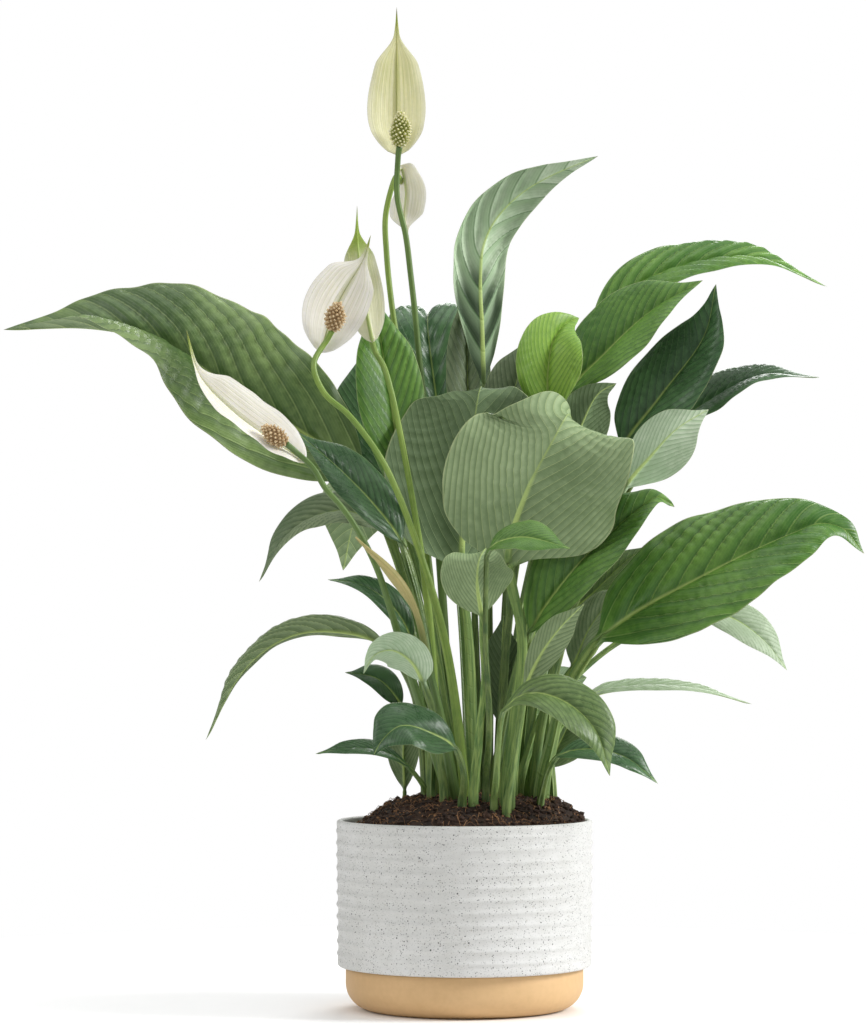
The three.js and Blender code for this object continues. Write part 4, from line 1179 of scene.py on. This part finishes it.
# %% Potting mix finishes
def mix_material(name, light, deep, roughness):
    material, tree, shader = new_material(name)
    cloud = mottled(tree, 90.0, 700.0, 0.55)
    surface(tree, shader, blend(tree, cloud, deep, light), cloud, 0.1, roughness)
    bump(tree, shader, noise_at(tree, 900.0, 5.0, roughness=0.7), 0.8, 0.0008)
    return material


peat = mix_material("peat", tint(66, 47, 34), tint(26, 18, 14), 0.9)
crumb_dark = mix_material("crumb_dark", tint(72, 50, 36), tint(26, 18, 14), 0.9)
crumb_tan = mix_material("crumb_tan", tint(164, 122, 84), tint(92, 64, 42), 0.88)

# %% Potting mix
soil_low, soil_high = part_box("soil")
SOIL_RADIUS = soil_high[0]
SOIL_EDGE = RIM_Z - 3.4 * MM
SOIL_MOUND = soil_high[2] - SOIL_EDGE
HEAP = (62 * MM, -8 * MM)   # the mix is heaped here, and lower on the other side
HEAP_WIDTH = 15 * MM
HEAP_RISE = 7 * MM
DIP = 6 * MM


def soil_top_at(x, y):
    share = min(1.0, math.hypot(x, y) / SOIL_RADIUS)
    away = ((x - HEAP[0]) ** 2 + (y - HEAP[1]) ** 2) / HEAP_WIDTH**2
    heap = HEAP_RISE * math.exp(-away)
    dip = DIP * smooth(-x / SOIL_RADIUS, 0.45, 0.95)
    return SOIL_EDGE + SOIL_MOUND * (1 - share**3) + heap - dip


def lumps(x, y):
    spot = Vector((x * 70, y * 70, 3.0))
    fine = Vector((x * 260, y * 260, 8.0))
    return 2.6 * MM * noise.noise(spot) + 1.3 * MM * noise.noise(fine)


points = [(0.0, 0.0, soil_top_at(0, 0))]
RINGS, TURNS = 64, 220
for i in range(1, RINGS + 1):
    r = SOIL_RADIUS * i / RINGS
    for j in range(TURNS):
        a = 2 * math.pi * j / TURNS
        x, y = r * math.cos(a), r * math.sin(a)
        rough = lumps(x, y) * (0.35 if i == RINGS else 1)
        points.append((x, y, soil_top_at(x, y) + rough))
for j in range(TURNS):
    a = 2 * math.pi * j / TURNS
    points.append((SOIL_RADIUS * math.cos(a), SOIL_RADIUS * math.sin(a), soil_low[2]))
points.append((0.0, 0.0, soil_low[2]))
faces = cap(0, 1, TURNS) + walls(1, RINGS, TURNS, True)
faces += cap(len(points) - 1, 1 + RINGS * TURNS, TURNS, True)
make_piece("peat_bed", points, faces, [peat], ["soil"])


# Each ring of a crumb: height, number of corners and turn.
CRUMB = ((-1, 1, 0), (-0.45, 5, 0), (0.45, 5, 0.6), (1, 1, 0))


def strew(name, count, material, low_size, high_size, seed, lean):
    rng = random.Random(seed)
    points, faces = [], []
    for _ in range(count):
        r = SOIL_RADIUS * 0.985 * math.sqrt(rng.random())
        a = rng.uniform(0, 2 * math.pi)
        x, y = r * math.cos(a), r * math.sin(a)
        size = rng.uniform(low_size, high_size) * (1 + lean * x / SOIL_RADIUS)
        centre = Vector((x, y, soil_top_at(x, y) + lumps(x, y) + size * rng.uniform(-0.1, 0.5)))
        first = len(points)
        stretch = [rng.uniform(0.6, 1.3) for _ in range(3)]
        for z, ring, turn in CRUMB:
            wide = 0 if ring == 1 else 0.9
            for j in range(ring):
                b = turn + 2 * math.pi * j / ring
                jolt = rng.uniform(0.75, 1.25)
                spot = (math.cos(b) * wide, math.sin(b) * wide, z * 0.8)
                jolted = [spot[i] * jolt * stretch[i] * size for i in range(3)]
                points.append(tuple(centre[i] + jolted[i] for i in range(3)))
        for j in range(5):
            k = (j + 1) % 5
            b, t = first + 1, first + 6
            faces.append((first, b + k, b + j))
            faces.append((b + j, b + k, t + j))
            faces.append((b + k, t + k, t + j))
            faces.append((t + j, t + k, first + 11))
    piece = make_piece(name, points, faces, [material], ["soil"])
    piece.data.polygons.foreach_set("use_smooth", [False] * len(faces))


strew("crumbs_dark", 2600, crumb_dark, 0.5 * MM, 2.0 * MM, 11, 0.25)
strew("crumbs_tan", 700, crumb_tan, 0.4 * MM, 1.1 * MM, 12, 0.25)

# %% Fibres
rng = random.Random(21)
points, faces = [], []
FIBRES = 520
STEPS, SIDES = 6, 3
for _ in range(FIBRES):
    r = SOIL_RADIUS * 0.96 * math.sqrt(rng.random())
    a = rng.uniform(0, 2 * math.pi)
    x, y = r * math.cos(a), r * math.sin(a)
    way = rng.uniform(0, 2 * math.pi)
    thick = rng.uniform(0.12, 0.26) * MM
    hop = rng.uniform(0.8, 2.2) * MM
    first = len(points)
    for i in range(STEPS):
        z = soil_top_at(x, y) + lumps(x, y) + 0.8 * MM + hop * math.sin(i * 1.1)
        for j in range(SIDES):
            b = way + 2 * math.pi * j / SIDES
            out = thick * math.cos(b)
            spot = (x - math.sin(way) * out, y + math.cos(way) * out, z + thick * math.sin(b))
            points.append(spot)
        pace = rng.uniform(1.2, 2.6) * MM
        way += rng.uniform(-0.5, 0.5)
        nx, ny = x + pace * math.cos(way), y + pace * math.sin(way)
        if math.hypot(nx, ny) > SOIL_RADIUS * 0.97:
            way += math.pi * 0.6
            nx, ny = x + pace * math.cos(way), y + pace * math.sin(way)
        x, y = nx, ny
    faces += walls(first, STEPS - 1, SIDES)
    last = len(points) - SIDES
    faces += [(first + 2, first + 1, first), (last, last + 1, last + 2)]
make_piece("coir_fibres", points, faces, [crumb_tan], ["soil"])
print("fibres", FIBRES)

# %% [markdown]
# ## Floor, light and camera
# A plain pale floor and soft light keep the attention on the plant. A broad lamp on the right
# shapes the leaves and the round pot, a weaker one lights the left, one behind edges the
# stems and a wide one hangs overhead. The sky is white to look at but lights the plant at less
# than half that, so that the spaces between the stems stay dark.

# %% Studio
FLOOR_RADIUS = 0.62
floor_mesh = bpy.data.meshes.new("floor")
FLOOR_SIDES = 90
edge = [2 * math.pi * i / FLOOR_SIDES for i in range(FLOOR_SIDES)]
ring = [(FLOOR_RADIUS * math.cos(a), FLOOR_RADIUS * math.sin(a), 0) for a in edge]
floor_mesh.from_pydata(ring, [], [tuple(range(FLOOR_SIDES))])
floor = bpy.data.objects.new("floor", floor_mesh)
bpy.context.collection.objects.link(floor)
paper, tree, shader = new_material("pale_floor")
cloud = mottled(tree, 2.0, 60.0, 0.2)
colour = blend(tree, cloud, tint(246, 246, 246), tint(250, 250, 250))
feed(tree, shader, {"Base Color": colour, "Roughness": 0.9})
floor_mesh.materials.append(paper)

world = bpy.data.worlds.new("soft_sky")
bpy.context.scene.world = world
world.use_nodes = True
sky_tree = world.node_tree
sky = sky_tree.nodes["Background"]
SKY_LIGHT = 0.46
rays = sky_tree.nodes.new("ShaderNodeLightPath")
seen = rays.outputs["Is Camera Ray"]
strength = times_plus(sky_tree, seen, 1.0 - SKY_LIGHT, SKY_LIGHT)
sky.inputs["Color"].default_value = (1.0, 1.0, 1.0, 1.0)
sky_tree.links.new(strength, sky.inputs["Strength"])
bpy.context.scene.view_settings.view_transform = "Standard"


def lamp(name, place, aim, size, power):
    light = bpy.data.lights.new(name, "AREA")
    light.shape = "DISK"
    light.size = size
    light.energy = power
    holder = bpy.data.objects.new(name, light)
    holder.location = place
    holder.rotation_euler = (Vector(aim) - Vector(place)).to_track_quat("-Z", "Y").to_euler()
    bpy.context.collection.objects.link(holder)


lamp("key", (2.1, -0.35, 1.3), (0, 0, 0.25), 0.9, 52)
lamp("fill", (-1.8, -1.0, 1.3), (0, 0, 0.3), 1.2, 13)
lamp("back", (0.4, 1.8, 1.6), (0, 0, 0.35), 1.2, 22)
lamp("top", (0.0, -0.2, 2.8), (0, 0, 0), 3.0, 30)

camera_data = bpy.data.cameras.new("camera")
SENSOR = 36
camera_data.sensor_width = SENSOR
camera_data.sensor_fit = "VERTICAL"
camera_data.sensor_height = SENSOR
camera_data.lens = 119.5
camera = bpy.data.objects.new("camera", camera_data)
camera.location = (-0.020, -2.2, 0.240)
aim = Vector((-0.020, 0.0, 0.320))
camera.rotation_euler = (aim - camera.location).to_track_quat("-Z", "Y").to_euler()
bpy.context.collection.objects.link(camera)
bpy.context.scene.camera = camera
